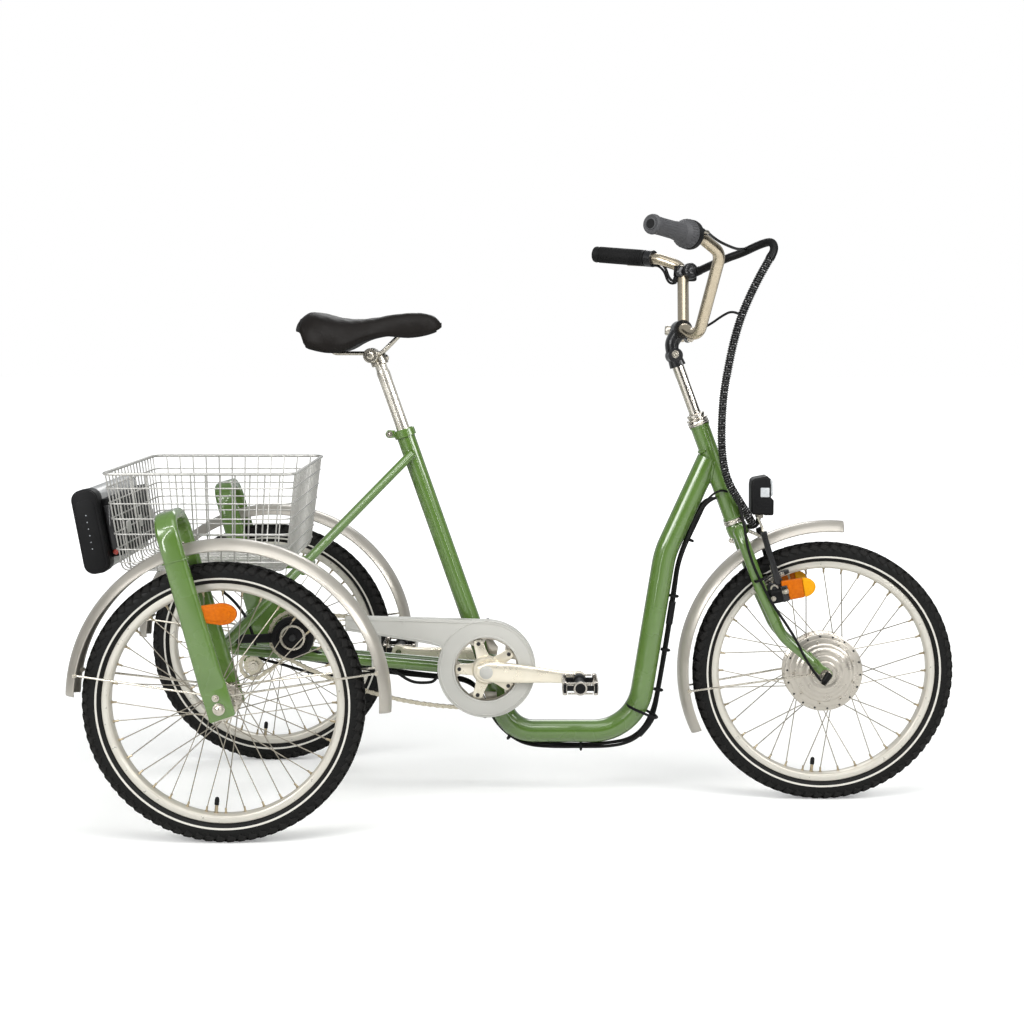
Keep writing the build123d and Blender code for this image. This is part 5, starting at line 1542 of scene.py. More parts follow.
def fork_blade(fork, side):
    """One blade from the crown to its flat end plate, with the boss that carries the brake arm."""
    route = rounded([steering_point(525, side * 4), steering_point(523, side * 30), steering_point(500, side * 45),
                     steering_point(415, side * 46), (1020, side * 49, 325), (1077, side * 54.5, 276)],
                    [14, 26, 60, 90], 5)
    radii = []
    for index, point in enumerate(route):
        share = min(1.0, max(0.0, (point.x - 985) / 92))
        radii.append(11.4 - 3.2 * share if index > 3 else 11.6 + index * 0.05)
    fork.tube(route, radii, 0, 28)
    tip = Vector((1083, side * 50.5, 270.6))
    way = Vector((0.74, -side * 0.12, -0.66)).normalized()
    fork.tube([route[-2], route[-1], tip - way * 1.0, tip + way * 5], [8.3, 8.2, 7.2, 4.8], 0, 20)
    low, high = side * 44.4, side * 50.4
    outline = [(1070, 282), (1078, 289), (1089, 281), (1100, 268), (1111, 262), (1117, 255), (1118, 247),
               (1113, 240.5), (1105, 238), (1099.5, 239), (1099.3, 249), (1090, 252), (1080, 262), (1070, 274)]
    fork.prism(outline, low, high, 1.4, 0, segments=3)
    fork.prism([(1064, 286), (1074, 296), (1082, 285), (1072, 275)], low, high, 1.4, 0, segments=3)
    fork.rod((brake_pivot.x - 44, side * 45, brake_pivot.z + 6), (brake_pivot.x - 2, side * 42.6, brake_pivot.z), 6.6,
             0, 20, 1.5)


def make_fork():
    fork = Shape()
    crown = steering_point(crown_z)
    fork.rod(steering_point(524), steering_point(730), 13.6, 0, 32)
    for side in (-1, 1):
        fork_blade(fork, side)
    fork.lathe(crown, steering_axis, [(13.7, -12), (17.5, -11), (19.6, -6), (20.2, 2), (20, 11), (18.6, 13.6),
                                      (13.7, 14)], 0, 48)
    fork.block(steering_point(520), (24, 62, 19), 7.5, 0, head_lean, segments=5)
    race = Shape()
    race.lathe(steering_point(536.4), steering_axis, [(13.7, 0), (19.8, 0), (20.8, 0.8), (20.8, 3.4), (19, 4.6),
                                                      (13.7, 5)], 0, 48)
    bolt(race, steering_point(508) + Vector((-15, 0, -5)), (-1, 0, -0.35), 9, 5)
    piece("fork_legs_and_crown", [fork.mesh(enamel), race.mesh(chrome)], "steering", "green_paint", "fork", crease=38)


def make_front_axle():
    axle = Shape()
    axle.rod(front_hub - sideways(62), front_hub + sideways(62), axle_radius, 0, 20)
    for side in (-1, 1):
        axle.washer((wheelbase, side * 50.4, axle_z), (0, side, 0), 6, 10.8, 0, 1.4, 0, 28)
        axle.hex_head((wheelbase, side * 51.4, axle_z), (0, side, 0), 16, 7, 0, dome=False)
        axle.rod((wheelbase, side * 57, axle_z), (wheelbase, side * 62, axle_z), 5.9, 0, 20)
        axle.washer((wheelbase, side * 38.2, axle_z), (0, side, 0), 6, 9.8, 0, 6, 0, 24)
    piece("front_axle_nuts", [axle.mesh(plated)], "steering", "steel", "front_axle")


def make_headset():
    cups = Shape()
    cups.lathe(steering_point(head_low_z), steering_axis, [(14.05, -8.8), (19.4, -8.8), (20.6, -7.6), (20.8, -4),
                                                           (19.6, -2.6), (20.4, -1.6), (20.6, 0), (14.05, 0)], 0, 48)
    cups.lathe(steering_point(head_top_z), steering_axis, [(14.05, 0), (20.8, 0), (21, 1.4), (19.6, 3), (20.4, 5.4),
                                                           (19.4, 7.8), (14.05, 8)], 0, 48)
    piece("headset_cup_rings", [cups.mesh(chrome)], "frame", "chrome", "headset_cups")


def make_stem():
    """The locknut, with its flats, and the stem that stands in the fork."""

    stem = Shape()
    stem.lathe(steering_point(head_top_z + 8.6), steering_axis, [(11, 0), (19.6, 0), (20.8, 1), (20.8, 3.2), (19, 4.2),
                                                                 (15.4, 4.6), (15.2, 6), (16.8, 6.6), (16.8, 11.6),
                                                                 (15.4, 12.8), (12.4, 13.4), (12.2, 15), (11, 15.2)],
               0, 48)
    for flat in range(8):
        spin = turned(45 * flat, steering_axis)
        out = spin @ Vector((math.cos(head_angle), 0, math.sin(head_angle)))
        stem.block(steering_point(head_top_z + 17.4) + out * 16.3, (1.6, 6.6, 5), 0.6, 0, spin @ head_lean)
    stem.rod(steering_point(head_top_z + 8), steering_point(856), bar_radius, 0, 36)
    piece("stem_quill_and_locknut", [stem.mesh(chrome)], "steering", "chrome", "stem")


def make_front_fender():
    centre = Vector((wheelbase + 8, 0, axle_z + 4))
    strip = Shape()
    fender_strip(strip, centre, 84.5, 206)
    hardware = Shape()
    crown = steering_point(crown_z)
    way = (centre - crown).normalized()
    hardware.rod(crown + way * 8, crown + way * ((crown - centre).length - 288.4), 6, 0, 20)
    hardware.prism([(-8, 0), (8, 0), (8, 2.6), (-8, 2.6)], -13, 13, 0.8, 0, turn=turned(25),
                   place=tuple(crown + way * ((crown - centre).length - 290)))
    lines = []
    for side in (-1, 1):
        tip = round_angle(centre, stay_radius, 188.5, side * 30.5)
        root = Vector((wheelbase - 24, side * 53.5, axle_z + 2))
        lines.append([tip, tip + (root - tip) * 0.05, root + (tip - root) * 0.04, root])
        stay_screw(hardware, tip, side)
        hardware.washer(root - sideways(side * 2.4), (0, side, 0), 2.4, 6.2, 0, 4.8, 0, 18)
        hardware.hex_head(root + sideways(side * 1.6), (0, side, 0), 7, 3, 0)
    piece("front_fender_strip", [strip.mesh(fender_paint), hardware.mesh(plated), wired(lines, 2.0, plated, 8)],
          "steering", "silver_paint", "front_fender", crease=28)


def brake_arm(brake, side):
    """The curved arm on its boss, with its return spring."""
    spine = [(160, 117.6, 7.5), (172, 117.4, 10.5), (190, 117.6, 9.4), (215, 116.8, 6.6), (250, 115.4, 5.4),
             (286, 114.4, 5.6), (299, 113.9, 6)]
    left, right = [], []
    for radius, angle, half in spine:
        spot = wheel_spot(radius, angle)
        out = Vector((-math.sin(math.radians(angle)), 0, math.cos(math.radians(angle))))
        left.append((spot.x + out.x * half, spot.z + out.z * half))
        right.append((spot.x - out.x * half, spot.z - out.z * half))
    edge = left + list(reversed(right))
    brake.prism(edge, side * 37.2, side * 44.6, 1.8, 0, segments=3)
    line_top, line_low = wheel_spot(284, 114.4, side * 44.9), wheel_spot(206, 117.0, side * 44.9)
    brake.tube([line_low, line_top], 0.9, 0, 8)
    brake.lathe((brake_pivot.x, side * 33, brake_pivot.z), (0, side, 0), [(0, 0), (9.4, 0), (10, 1), (10, 13),
                                                                          (9, 14.4), (0, 14.4)], 0, 32)
    bolt(brake, (brake_pivot.x, side * 47, brake_pivot.z), (0, side, 0), 7.4, 3.6, 1)
    spring = [round_angle(brake_pivot, 10.9, 360 * k / 12.5, side * (34.5 + k * 0.11)) for k in range(50)]
    spring += [wheel_spot(200, 119.6, side * 41), wheel_spot(236, 117.4, side * 41.6)]
    brake.tube(spring, 0.8, 1, 6)


def brake_shoe(brake, side):
    holder = wheel_spot(194, 121.2)
    brake.rod((holder.x, side * 27, holder.z), (holder.x, side * 49.8, holder.z), 3.1, 1, 16)
    brake.lathe((holder.x, side * 49.2, holder.z), (0, side, 0), [(5, 0), (8, 0), (8.2, 0.8), (7.4, 2), (5, 2)], 1, 28)
    brake.hex_head((holder.x, side * 49, holder.z), (0, side, 0), 7, 2.4, 0)
    shoe = [wheel_spot(208.4, angle, side * 22.4) for angle in (109.6, 112, 116, 120, 124, 128, 130.4)]
    brake.sweep(shoe, soft_rectangle(9.4, 9.0, 2.4, 3), (0, 1, 0), 0, [(0.7, 0.7), (1, 1), (1, 1), (1, 1), (1, 1),
                                                                       (1, 1), (0.7, 0.7)])
    carrier = [wheel_spot(208, angle, side * 28) for angle in (112.5, 116, 120, 124, 127.5)]
    brake.sweep(carrier, soft_rectangle(7, 3.2, 1.2, 3), (0, 1, 0), 1)
    block_spot = wheel_spot(192, 121.4, side * 45)
    brake.block(block_spot, (30, 9, 22), 3, 0, turned(20))


def brake_bracket(brake, side):
    """The bracket behind the reflector, and the clip at the arm's top."""
    bracket = Vector((1013, side * 53, 402))
    brake.block(bracket, (32, 12, 24), 3.4, 2, turned(-12))
    brake.block(bracket + Vector((11, side * 1.5, 6)), (13, 12.6, 30), 2.6, 0, turned(-12))
    bolt(brake, (1024, side * 59.6, 412), (0, side, 0), 8, 4, 1)
    bolt(brake, (1002, side * 58.6, 398), (0, side, 0), 6, 2.6, 1)
    clip = wheel_spot(292, 114.1, side * 41)
    brake.lathe((clip.x, side * 44, clip.z), (0, side, 0), [(0, 0), (4.4, 0), (4.4, 2), (3.6, 3), (0, 3)], 0, 20)


def make_brake():
    """Both arms, then the cable that pulls their tops together through its bent pipe and bellows."""
    brake = Shape()
    for side in (-1, 1):
        brake_arm(brake, side)
        brake_shoe(brake, side)
        brake_bracket(brake, side)
    left_top, right_top = wheel_spot(*arm_top, 37), wheel_spot(*arm_top, -37)
    brake.tube([left_top, left_top.lerp(right_top, 0.3), left_top.lerp(right_top, 0.72)], 2.6, 2, 12)
    noodle = settled([right_top + sideways(-2), right_top + Vector((0, 8, 1)), right_top + Vector((-2, 12, 12)),
                      right_top + Vector((-8, 10, 24)), right_top + Vector((-12, 8, 34))], 10)
    brake.tube(noodle, 2.4, 1, 12)
    for k in range(7):
        spot = left_top.lerp(right_top, 0.2 + k * 0.08)
        brake.lathe(spot, (0, -1, 0), [(2.4, 0), (4.6, 1.3), (2.4, 2.6)], 2, 16)
    for y in (-12, 12):
        brake.block(wheel_spot(300, 117, y), (24, 16, 5), 1.4, 1, turned(24))
    piece("front_rim_brake", [brake.mesh(black_metal, plated, black_sheath)], "steering", "black_metal", "front_brake")


def make_headlight():
    """Housing, hood, lens and bracket."""

    lamp = Shape()
    body = [(962, 557), (966, 554), (1000, 554), (1003, 558), (1003.2, 583), (999.6, 587), (999, 612), (996, 625.6),
            (991, 628), (968, 623.6), (963, 619.6), (961.4, 610)]
    lamp.prism(body, -24.6, 24.6, 4.6, 0, segments=4)
    lamp.prism([(986, 552.6), (1004, 552.6), (1005, 556), (1005, 582), (1001, 585), (988, 585)], -22, 22, 2.2, 0)
    lamp.prism([(998, 589), (1003.5, 590), (1002.5, 618), (998, 624)], -20, 20, 1.8, 1)
    for side in (-1, 1):
        lamp.prism([(979, 588), (996, 588), (996, 606), (979, 606)], side * 24.2, side * 25.6, 1.2, 1)
        for z in (566, 571, 576):
            lamp.prism([(970, z), (994, z), (994, z + 1.6), (970, z + 1.6)], side * 24.4, side * 25.2, 0.5, 0)
    stalk = rounded([(950, 0, 530), (975, 0, 528), (981, 0, 556)], [12], 4)
    lamp.tube(stalk, 4.6, 0, 16)
    lamp.block((980, 0, 552), (14, 20, 12), 3, 0)
    bolt(lamp, (980, -10, 552), (0, -1, 0), 8, 4, 2)
    piece("headlight_housing", [lamp.mesh(black_plastic, lamp_lens, plated)], "steering", "black_plastic", "headlight")


def make_fork_reflectors():
    lenses = Shape()
    turn, place = turned(-10), (1048, 0, 417)
    for side in (-1, 1):
        low, high = side * 46.2, side * 57.8
        nose = [(11 + 23 * math.cos(math.radians(angle)), 18.4 * math.sin(math.radians(angle)))
                for angle in range(-90, 91, 12)]
        body = [(-29, -17), (-27, -19), (10.6, -18.4), (10.6, 18.4), (-27, 19), (-29, 17)]
        lenses.prism(body, low, high, 2.2, 0, turn=turn, place=place, segments=3)
        lenses.prism([(11, -18.4)] + nose[1:-1] + [(11, 18.4)], low, high, 2.2, 1, turn=turn, place=place, segments=3)
        lenses.prism([(-66, -6), (-26, -6), (-26, 6), (-66, 6)], side * 49.5, side * 53, 1.0, 2, turn=turn,
                     place=place)
    piece("fork_reflector_lenses", [lenses.mesh(amber, yellow, black_plastic)], "steering", "amber_plastic",
          "fork_reflectors")


# ---------------------------------------------------------------- handlebar, grips, controls
# corners of the straight bar, from the right end to the left one
bar_corners = [(710, -300, 1073), (825, -189, 1060), (866, -160, 1036), (846, -62, 885), (828, -32, 905),
               (828, 32, 905), (846, 62, 885), (866, 160, 1036), (825, 189, 1054), (715, 295, 1072)]


def turned_points(points):
    return [bar_turned(point) for point in points]


def make_handlebar():
    path = turned_points(rounded(bar_corners, [20, 34, 28, 16, 16, 28, 34, 20], 4))
    bar = Shape().tube(path, bar_radius, 0, 28)
    piece("handlebar_tube", [bar.mesh(champagne)], "steering", "chrome", "handlebar")


def grip_frame(side):
    """End of the bar on one side, and the unit vector from there along the grip, both after the turn."""
    end, bend = turned_points(bar_corners[:2] if side < 0 else bar_corners[:-3:-1])
    return end, (bend - end).normalized()


def round_way(way, degrees):
    """A unit vector square to a direction, at an angle from its upper side."""
    upward = (Vector((0, 0, 1)) - way * way.z).normalized()
    return turned(degrees, way) @ upward


def ribs_round(shape, way, count, height, marks):
    """Small ribs along a grip, evenly round it; marks are (place along it, distance from its middle)."""
    side_way = way.orthogonal().normalized()
    for rib in range(count):
        out = turned(360 * rib / count, way) @ side_way
        shape.tube([start + out * away for start, away in marks], height, 0, 6)


def make_grips():
    end, way = grip_frame(-1)
    grip = Shape()
    right = [(0, -3.6), (9, -3.6), (10.4, -3.0), (10.8, -1.6), (12.6, -1.6), (14.4, -2.6), (16.8, -1.4), (17.8, 1.5),
             (17.9, 5), (16.7, 8.4), (15.6, 14), (15.1, 30), (15.4, 60), (16.4, 74), (17.4, 84), (17.4, 87.6),
             (bar_bore, 87.6)]
    grip.lathe(end, way, right, 0, 48, closed=False)
    grip.lathe(end, way, [(0, -4), (8.2, -4), (9, -3.2), (9, -1), (0, -1)], 1, 32)
    ribs_round(grip, way, 22, 0.8, [(end + way * 12, 15.3), (end + way * 30, 14.9), (end + way * 66, 15.2),
                                    (end + way * 82, 17)])
    end, way = grip_frame(1)
    left = [(0, -3.8), (10, -3.8), (13, -3), (15.8, -1), (16.4, 2), (15.8, 6), (15.2, 12), (15.6, 40), (16.2, 70),
            (15.4, 100), (15.4, 116), (16.4, 118), (16.4, 121.6), (bar_bore, 121.6)]
    grip.lathe(end, way, left, 2, 48, closed=False)
    for ring in range(26):
        grip.lathe(end + way * (10 + ring * 4), way, [(15.0, 0), (16.45, 0.7), (16.45, 1.9), (15.0, 2.6)], 2, 36)
    piece("grip_rubbers", [grip.mesh(grip_rubber, black_plastic, black_rubber)], "steering", "grip_rubber", "grips")


def shifter_exit():
    """Where the cable leaves the shifter's housing."""
    end, way = grip_frame(-1)
    return end + way * 133 + round_way(way, 62) * 19


def make_shifter():
    end, way = grip_frame(-1)
    start = end + way * 100
    body = Shape()
    body.lathe(start, way, [(bar_bore, -12), (17, -12), (19.4, -9), (22.4, -3), (24.8, 4), (25.6, 9), (25.4, 13.6),
                            (24.4, 14.4), (bar_bore, 14.4)], 0, 56)
    body.lathe(start, way, [(bar_bore, 14.8), (25.0, 14.8), (26.6, 16), (26.8, 22), (25.8, 26.4), (22.6, 29.4),
                            (17, 31.4), (bar_bore, 31.8)], 1, 56)
    ribs_round(body, way, 30, 0.9, [(start + way * -2, 22.8), (start + way * 4, 24.9), (start + way * 9, 25.8),
                                    (start + way * 13.4, 25.2)])
    for degrees in (-50, -40, -30):
        out = round_way(way, degrees)
        body.block(start + way * 26.4 + out * 24.6, (5.4, 5.2, 3.4), 0.9, 2,
                   Matrix((way, way.cross(out), out)).transposed())
    cable = shifter_exit()
    body.rod(cable - way * 14, cable + way * 4, 4.6, 1, 20, 1.2)
    body.rod(cable + way * 3, cable + way * 20, 3.4, 3, 18, 0.8)
    piece("twist_shifter_body", [body.mesh(grip_rubber, black_plastic, red_lens, plated)], "steering", "black_plastic",
          "twist_shifter")


def make_lever():
    end, way = grip_frame(1)
    lever = Shape()
    inner = end + way * 122
    lever.lathe(inner, way, [(bar_bore, 1), (16, 1), (16.8, 2), (16.8, 17), (16, 18), (bar_bore, 18)], 0, 40)
    ahead = bar_spin @ Vector((24, 12, -8))
    plain = ahead.normalized()
    lever.block(inner + way * 9 + plain * 17, (15, 17, 13), 3.4, 0,
                Matrix((way, plain, way.cross(plain))).transposed())
    line = rounded([inner + way * 10 + plain * 20, inner + ahead * 1.45, inner - way * 85 + ahead * 1.7], [18], 4)
    up = way.cross(plain).normalized()
    count = len(line)
    scales = [(1 - 0.25 * math.sin(math.pi * k / (count - 1)), 1) for k in range(count)]
    lever.sweep(line, soft_rectangle(7.4, 10, 3.2, 4), tuple(up), 1, scales)
    lever.lathe(line[-1] - up * 0.01, way * -1, [(0, -5), (4.6, -5), (5.4, -1), (5.4, 2), (4, 4.8), (0, 5.2)], 1, 20)
    pin = inner + way * 10 + plain * 21
    lever.washer(pin - up * 7.5, up, 0, 4.4, 0, 15, 2, 20)
    lever.rod(inner + way * 14 + plain * 20, inner + way * 27 + plain * 19, 3.6, 2, 18)
    piece("brake_lever_and_clamp", [lever.mesh(black_metal, forged, plated)], "steering", "aluminium", "brake_lever")


def make_bar_control():
    """The round housings clamped together on the left bend of the bar."""

    control = Shape()
    centre = Vector((868, 152, 1026))

    def spot(x, y, z):
        return bar_turned(centre + Vector((x, y, z)))
    turn = bar_spin
    control.block(spot(-3, 0, 0), (30, 30, 25), 6, 0, turn, segments=4)
    facing = turn @ Vector((0.35, -0.93, 0.1))
    control.lathe(spot(8, -11, 1), facing, [(0, -6), (15.4, -6), (16.6, -4), (16.6, 4), (15, 7), (12, 8), (11, 6.4),
                                            (7, 6), (6, 7.4), (0, 7.8)], 2, 44)
    control.lathe(spot(-9, -10, -1), facing, [(0, -4), (11.4, -4), (12.2, -2), (12.2, 4), (10, 6.6), (6, 7), (5, 6),
                                              (0, 6)], 2, 36)
    control.block(spot(-12, 2, -14), (20, 20, 12), 4, 0, turn, segments=4)
    control.block(spot(14, 0, -12), (18, 18, 12), 4, 0, turn, segments=4)
    control.lathe(spot(-17, 4, 2), turn @ Vector((-1, 0.2, 0.1)), [(0, -2), (10.6, -2), (11, -1), (11, 2.6), (9.6, 4),
                                                                   (0, 4.4)], 0, 32)
    control.block(spot(-4, 6, 12), (18, 14, 7), 2.6, 0, turn)
    control.block(spot(-8, -8, 11), (9, 8, 4), 1.2, 1, turn)
    control.lathe(spot(12, -6, -2), turn @ Vector((0.95, -0.2, 0.1)), [(0, -4), (9.4, -4), (9.8, 2), (9.4, 9),
                                                                       (8.7, 9.8), (0, 9.8)], 0, 32)
    piece("round_control_and_clamps", [control.mesh(black_plastic, plated, black_metal)], "steering", "black_plastic",
          "bar_control")


def make_stem_head():
    side_way = bar_spin @ sideways(1)
    head = Shape()
    path = turned_points(settled([steering_point(836), steering_point(850), steering_point(862) + Vector((-2, 0, 3)),
                                  Vector((810, 0, 886)), Vector((828, 0, 905))], 8))
    count = len(path)
    scales = [(15 - 3.2 * math.sin(math.pi * k / (count - 1)), 16.5) for k in range(count)]
    head.sweep(path, soft_rectangle(2, 2, 0.8, 5), side_way, 0, scales)
    clamp = turned_points([(828, -19, 905), (828, 19, 905)])
    head.lathe(clamp[0], clamp[1] - clamp[0], [(11.3, 0), (17, 0), (17.8, 1), (17.8, 37), (17, 38), (11.3, 38)], 0, 40)
    head.block(bar_turned((841, 0, 890)), (17, 28, 13), 3.4, 0, bar_spin @ turned(40), segments=4)
    for side in (-1, 1):
        bolt(head, bar_turned((843, 0, 887)) + side_way * side * 13.4, side_way * side, 8, 3.4, 1)
        bolt(head, bar_turned(steering_point(858)) + side_way * side * 15.6, side_way * side, 9, 2.4, 1)
    head.lathe(bar_turned(steering_point(856)) - side_way * 16.6, side_way, [(0, 0), (13, 0), (14, 1), (14, 32.2),
                                                                             (13, 33.2), (0, 33.2)], 0, 40)
    piece("stem_head_forging", [head.mesh(black_metal, plated)], "steering", "black_metal", "stem_head")


def make_bar_button():
    """The strap round the bar's left upright, with its round button behind."""
    tag = Shape()
    foot, elbow = turned_points(bar_corners[6:8])
    up_way = (elbow - foot).normalized()
    spot = foot + up_way * 19
    tag.lathe(spot, up_way, [(bar_bore, 0), (14, 0), (14.8, 0.8), (14.8, 6), (13.6, 6.8), (13.6, 8.2), (14.8, 9),
                             (14.8, 14.2), (14, 15), (bar_bore, 15)], 0, 36)
    back = Vector((-1, -0.15, -0.16))
    back = (back - up_way * back.dot(up_way)).normalized()
    tag.block(spot + up_way * 7 + back * 17, (20, 14, 14), 2.6, 0)
    tag.lathe(spot + up_way * 6 + back * 21, back, [(0, 0), (8.6, 0), (9.6, 1), (9.6, 12), (8.6, 14), (7, 15),
                                                    (0, 15.4)], 1, 28)
    piece("bar_strap_and_button", [tag.mesh(black_plastic, forged)], "steering", "black_plastic")


make_fork()
make_front_axle()
make_headset()
make_stem()
make_front_fender()
make_brake()
make_headlight()
make_fork_reflectors()
make_handlebar()
make_grips()
make_shifter()
make_lever()
make_bar_control()
make_stem_head()
make_bar_button()


# ---------------------------------------------------------------- cables
def spiral(path, radius, pitch, count=14):
    """A line wound round a path."""
    path = [Vector(point) for point in path]
    reach = [0.0]
    for here, after in zip(path, path[1:]):
        reach.append(reach[-1] + (after - here).length)
    side_way = (path[1] - path[0]).orthogonal().normalized()
    line = []
    leg = 0
    for turn in range(int(reach[-1] / pitch * count)):
        along = turn * pitch / count
        while leg < len(path) - 2 and reach[leg + 1] < along:
            leg += 1
        way = (path[leg + 1] - path[leg]).normalized()
        side_way = (side_way - way * side_way.dot(way)).normalized()
        spot = path[leg] + way * (along - reach[leg])
        line.append(spot + Matrix.Rotation(2 * math.pi * turn / count, 3, way) @ side_way * radius)
    return line


def cable_tie(shape, centre, way, across, size, slot, tail, width):
    """A flat strap round an oval, long in the direction across. size is (radius of its ends, half of its straight
    sides); tail is the side, 1 or -1, of the lock and the cut tail."""
    way = Vector(way).normalized()
    across = Vector(across)
    across = (across - way * across.dot(way)).normalized()
    upward = way.cross(across)
    half, run = size
    ring = []
    for index in range(40):
        angle = 2 * math.pi * index / 40
        reach = run if math.cos(angle) > 0 else -run
        ring.append(Vector(centre) + across * (half * math.cos(angle) + reach) + upward * half * math.sin(angle))
    shape.sweep(ring, [(-0.5, -width), (0.5, -width), (0.5, width), (-0.5, width)], tuple(way), slot, closed=True)
    spot = Vector(centre) + across * (half + run) * tail
    shape.block(spot, (3.6, 3.6, 3.6), 0.8, slot)
    shape.rod(spot, spot + across * 1.8 * tail + upward * 1.6, 0.9, slot, 8)


def make_control_bundle():
    """All control cables from the left clamp, plain up to the turn and wound from there to the lamp's bracket."""
    start = bar_turned((890.4, 148, 1026))
    route = [start, (919, 112, 1042), (952, 92, 1053), (984, 70, 1069), (1004, 51, 1074), (1008, 36, 1058),
             (996, 26, 1038), (978, 18, 1008), (958, 9, 969), (940, 0, 928), (926, -9, 882), (916, -16, 835),
             (907, -24, 788), (903, -33, 738), (902, -38, 692), (906, -39, 650), (916, -37, 617), (933, -31, 588),
             (953, -21, 558), (967, -13.6, 533)]
    path = settled(route, 10)
    turn = min(range(len(path)), key=lambda index: (path[index] - Vector((1000, 30, 1046))).length)
    smooth, wound = path[:turn + 1], path[turn:]
    bundle = Shape()
    bundle.tube(smooth, 8.0, 0, 20)
    bundle.tube(wound, 6.9, 0, 18)
    bundle.lathe(wound[0] - (wound[1] - wound[0]).normalized() * 2, wound[1] - wound[0],
                 [(7.4, 0), (8.6, 1), (8.6, 9), (7.4, 10)], 0, 28)
    first_way = (path[1] - path[0]).normalized()
    bundle.rod(start - first_way * 3, start + first_way * 12, 8.6, 0, 24, 1.4)
    way = grip_frame(-1)[1]
    exit_spot = shifter_exit()
    bundle.tube(settled([exit_spot, exit_spot + way * 18, (866, -142, 1077), (884, -112, 1067), (902, -82, 1061),
                         (925, -20, 1057), (942, 40, 1058), (957, 86, 1061)], 12), 2.6, 0, 12)
    bundle.tube(settled([(849, 16, 899), (878, 10, 911), (906, 5, 932), (925, 2, 941), (938, 0, 934)], 12), 2.4, 0, 12)
    end, way = grip_frame(1)
    lever = end + way * 149 + Vector((6, 0, -7))
    centre = bar_turned((862, 158, 1018))
    bundle.tube(settled([lever - way * 8, lever + way * 8, lever.lerp(centre, 0.55) + Vector((-4, 0, -22)),
                         centre + Vector((-4, 4, -8)), centre + Vector((8, 0, -2))], 12), 2.8, 0, 12)
    bundle.tube(settled([lever - way * 12 + Vector((0, 0, -6)), lever + way * 6 + Vector((0, 0, -8)),
                         lever.lerp(centre, 0.6) + Vector((-8, -4, -30)), centre + Vector((-10, 0, -12))], 12), 2.4, 0,
                12)
    piece("cable_bundle", [bundle.mesh(black_sheath), wired([spiral(wound, 7.3, 4.5)], 1.25, spiral_wrap, 6)],
          "steering", "black_rubber", "control_cables")


def make_motor_lead():
    """The lead along the right fork blade, its plug on the axle and the tie that holds it."""
    lead = Shape()
    motor = settled([(930, -41, 592), (944, -55, 548), (949, -62, 504), (962, -63, 462), (979, -62, 427),
                     (998, -61.5, 390), (1022, -63, 356), (1044, -66, 322), (1060, -69, 289), (1077, -72, 262),
                     (1092, -72, 243)], 12)
    lead.tube(motor, 2.6, 0, 14)
    plug_way = Vector((-12, -2.5, -19)).normalized()
    lead.lathe((1109, -69.2, 257), plug_way, [(0, 0), (5.6, 0), (6.6, 1), (7, 5), (6.4, 18), (4.6, 22), (3.2, 25),
                                              (0, 25)], 0, 28)
    for ring in range(4):
        spot = Vector((1100, -71, 243)) + plug_way * (ring * 2.6 - 1)
        lead.lathe(spot, plug_way, [(5, 0), (6.6, 0.5), (6.6, 1.2), (5, 1.7)], 0, 24)
    blade = Vector((977, -47.6, 436))
    cable_tie(lead, blade + Vector((1, -3, 0)), Vector((0.42, 0, -0.9)), (0, -1, 0), (13.4, 4.4), 0, 1, 2.6)
    piece("motor_lead", [lead.mesh(black_sheath)], "steering", "black_rubber", "motor_cable")


def harness_ties(harness):
    small, round_tube = ((6.6, 1.6), 2.4), ((22.9, 11.2), 2.5)      # size and half width of the two kinds of tie
    for cable, tube_middle, (size, width) in (((846, 504), (826, 512), small), ((817.5, 395), (795, 398), small),
                                              ((802, 290), (779, 293.5), small), ((789, 212), (764.5, 216), small),
                                              ((787.8, 157), (747.3, 175.2), round_tube),
                                              ((640, 101.4), (640, 130.5), small), ((503, 121), (519, 140), small)):
        cable, tube_middle = Vector((cable[0], 0, cable[1])), Vector((tube_middle[0], 0, tube_middle[1]))
        outward = (cable - tube_middle).normalized()
        centre = cable if size == small[0] else tube_middle + outward * 10.3
        cable_tie(harness, centre, outward.cross(sideways(1)), outward, size, 1, 1, width)


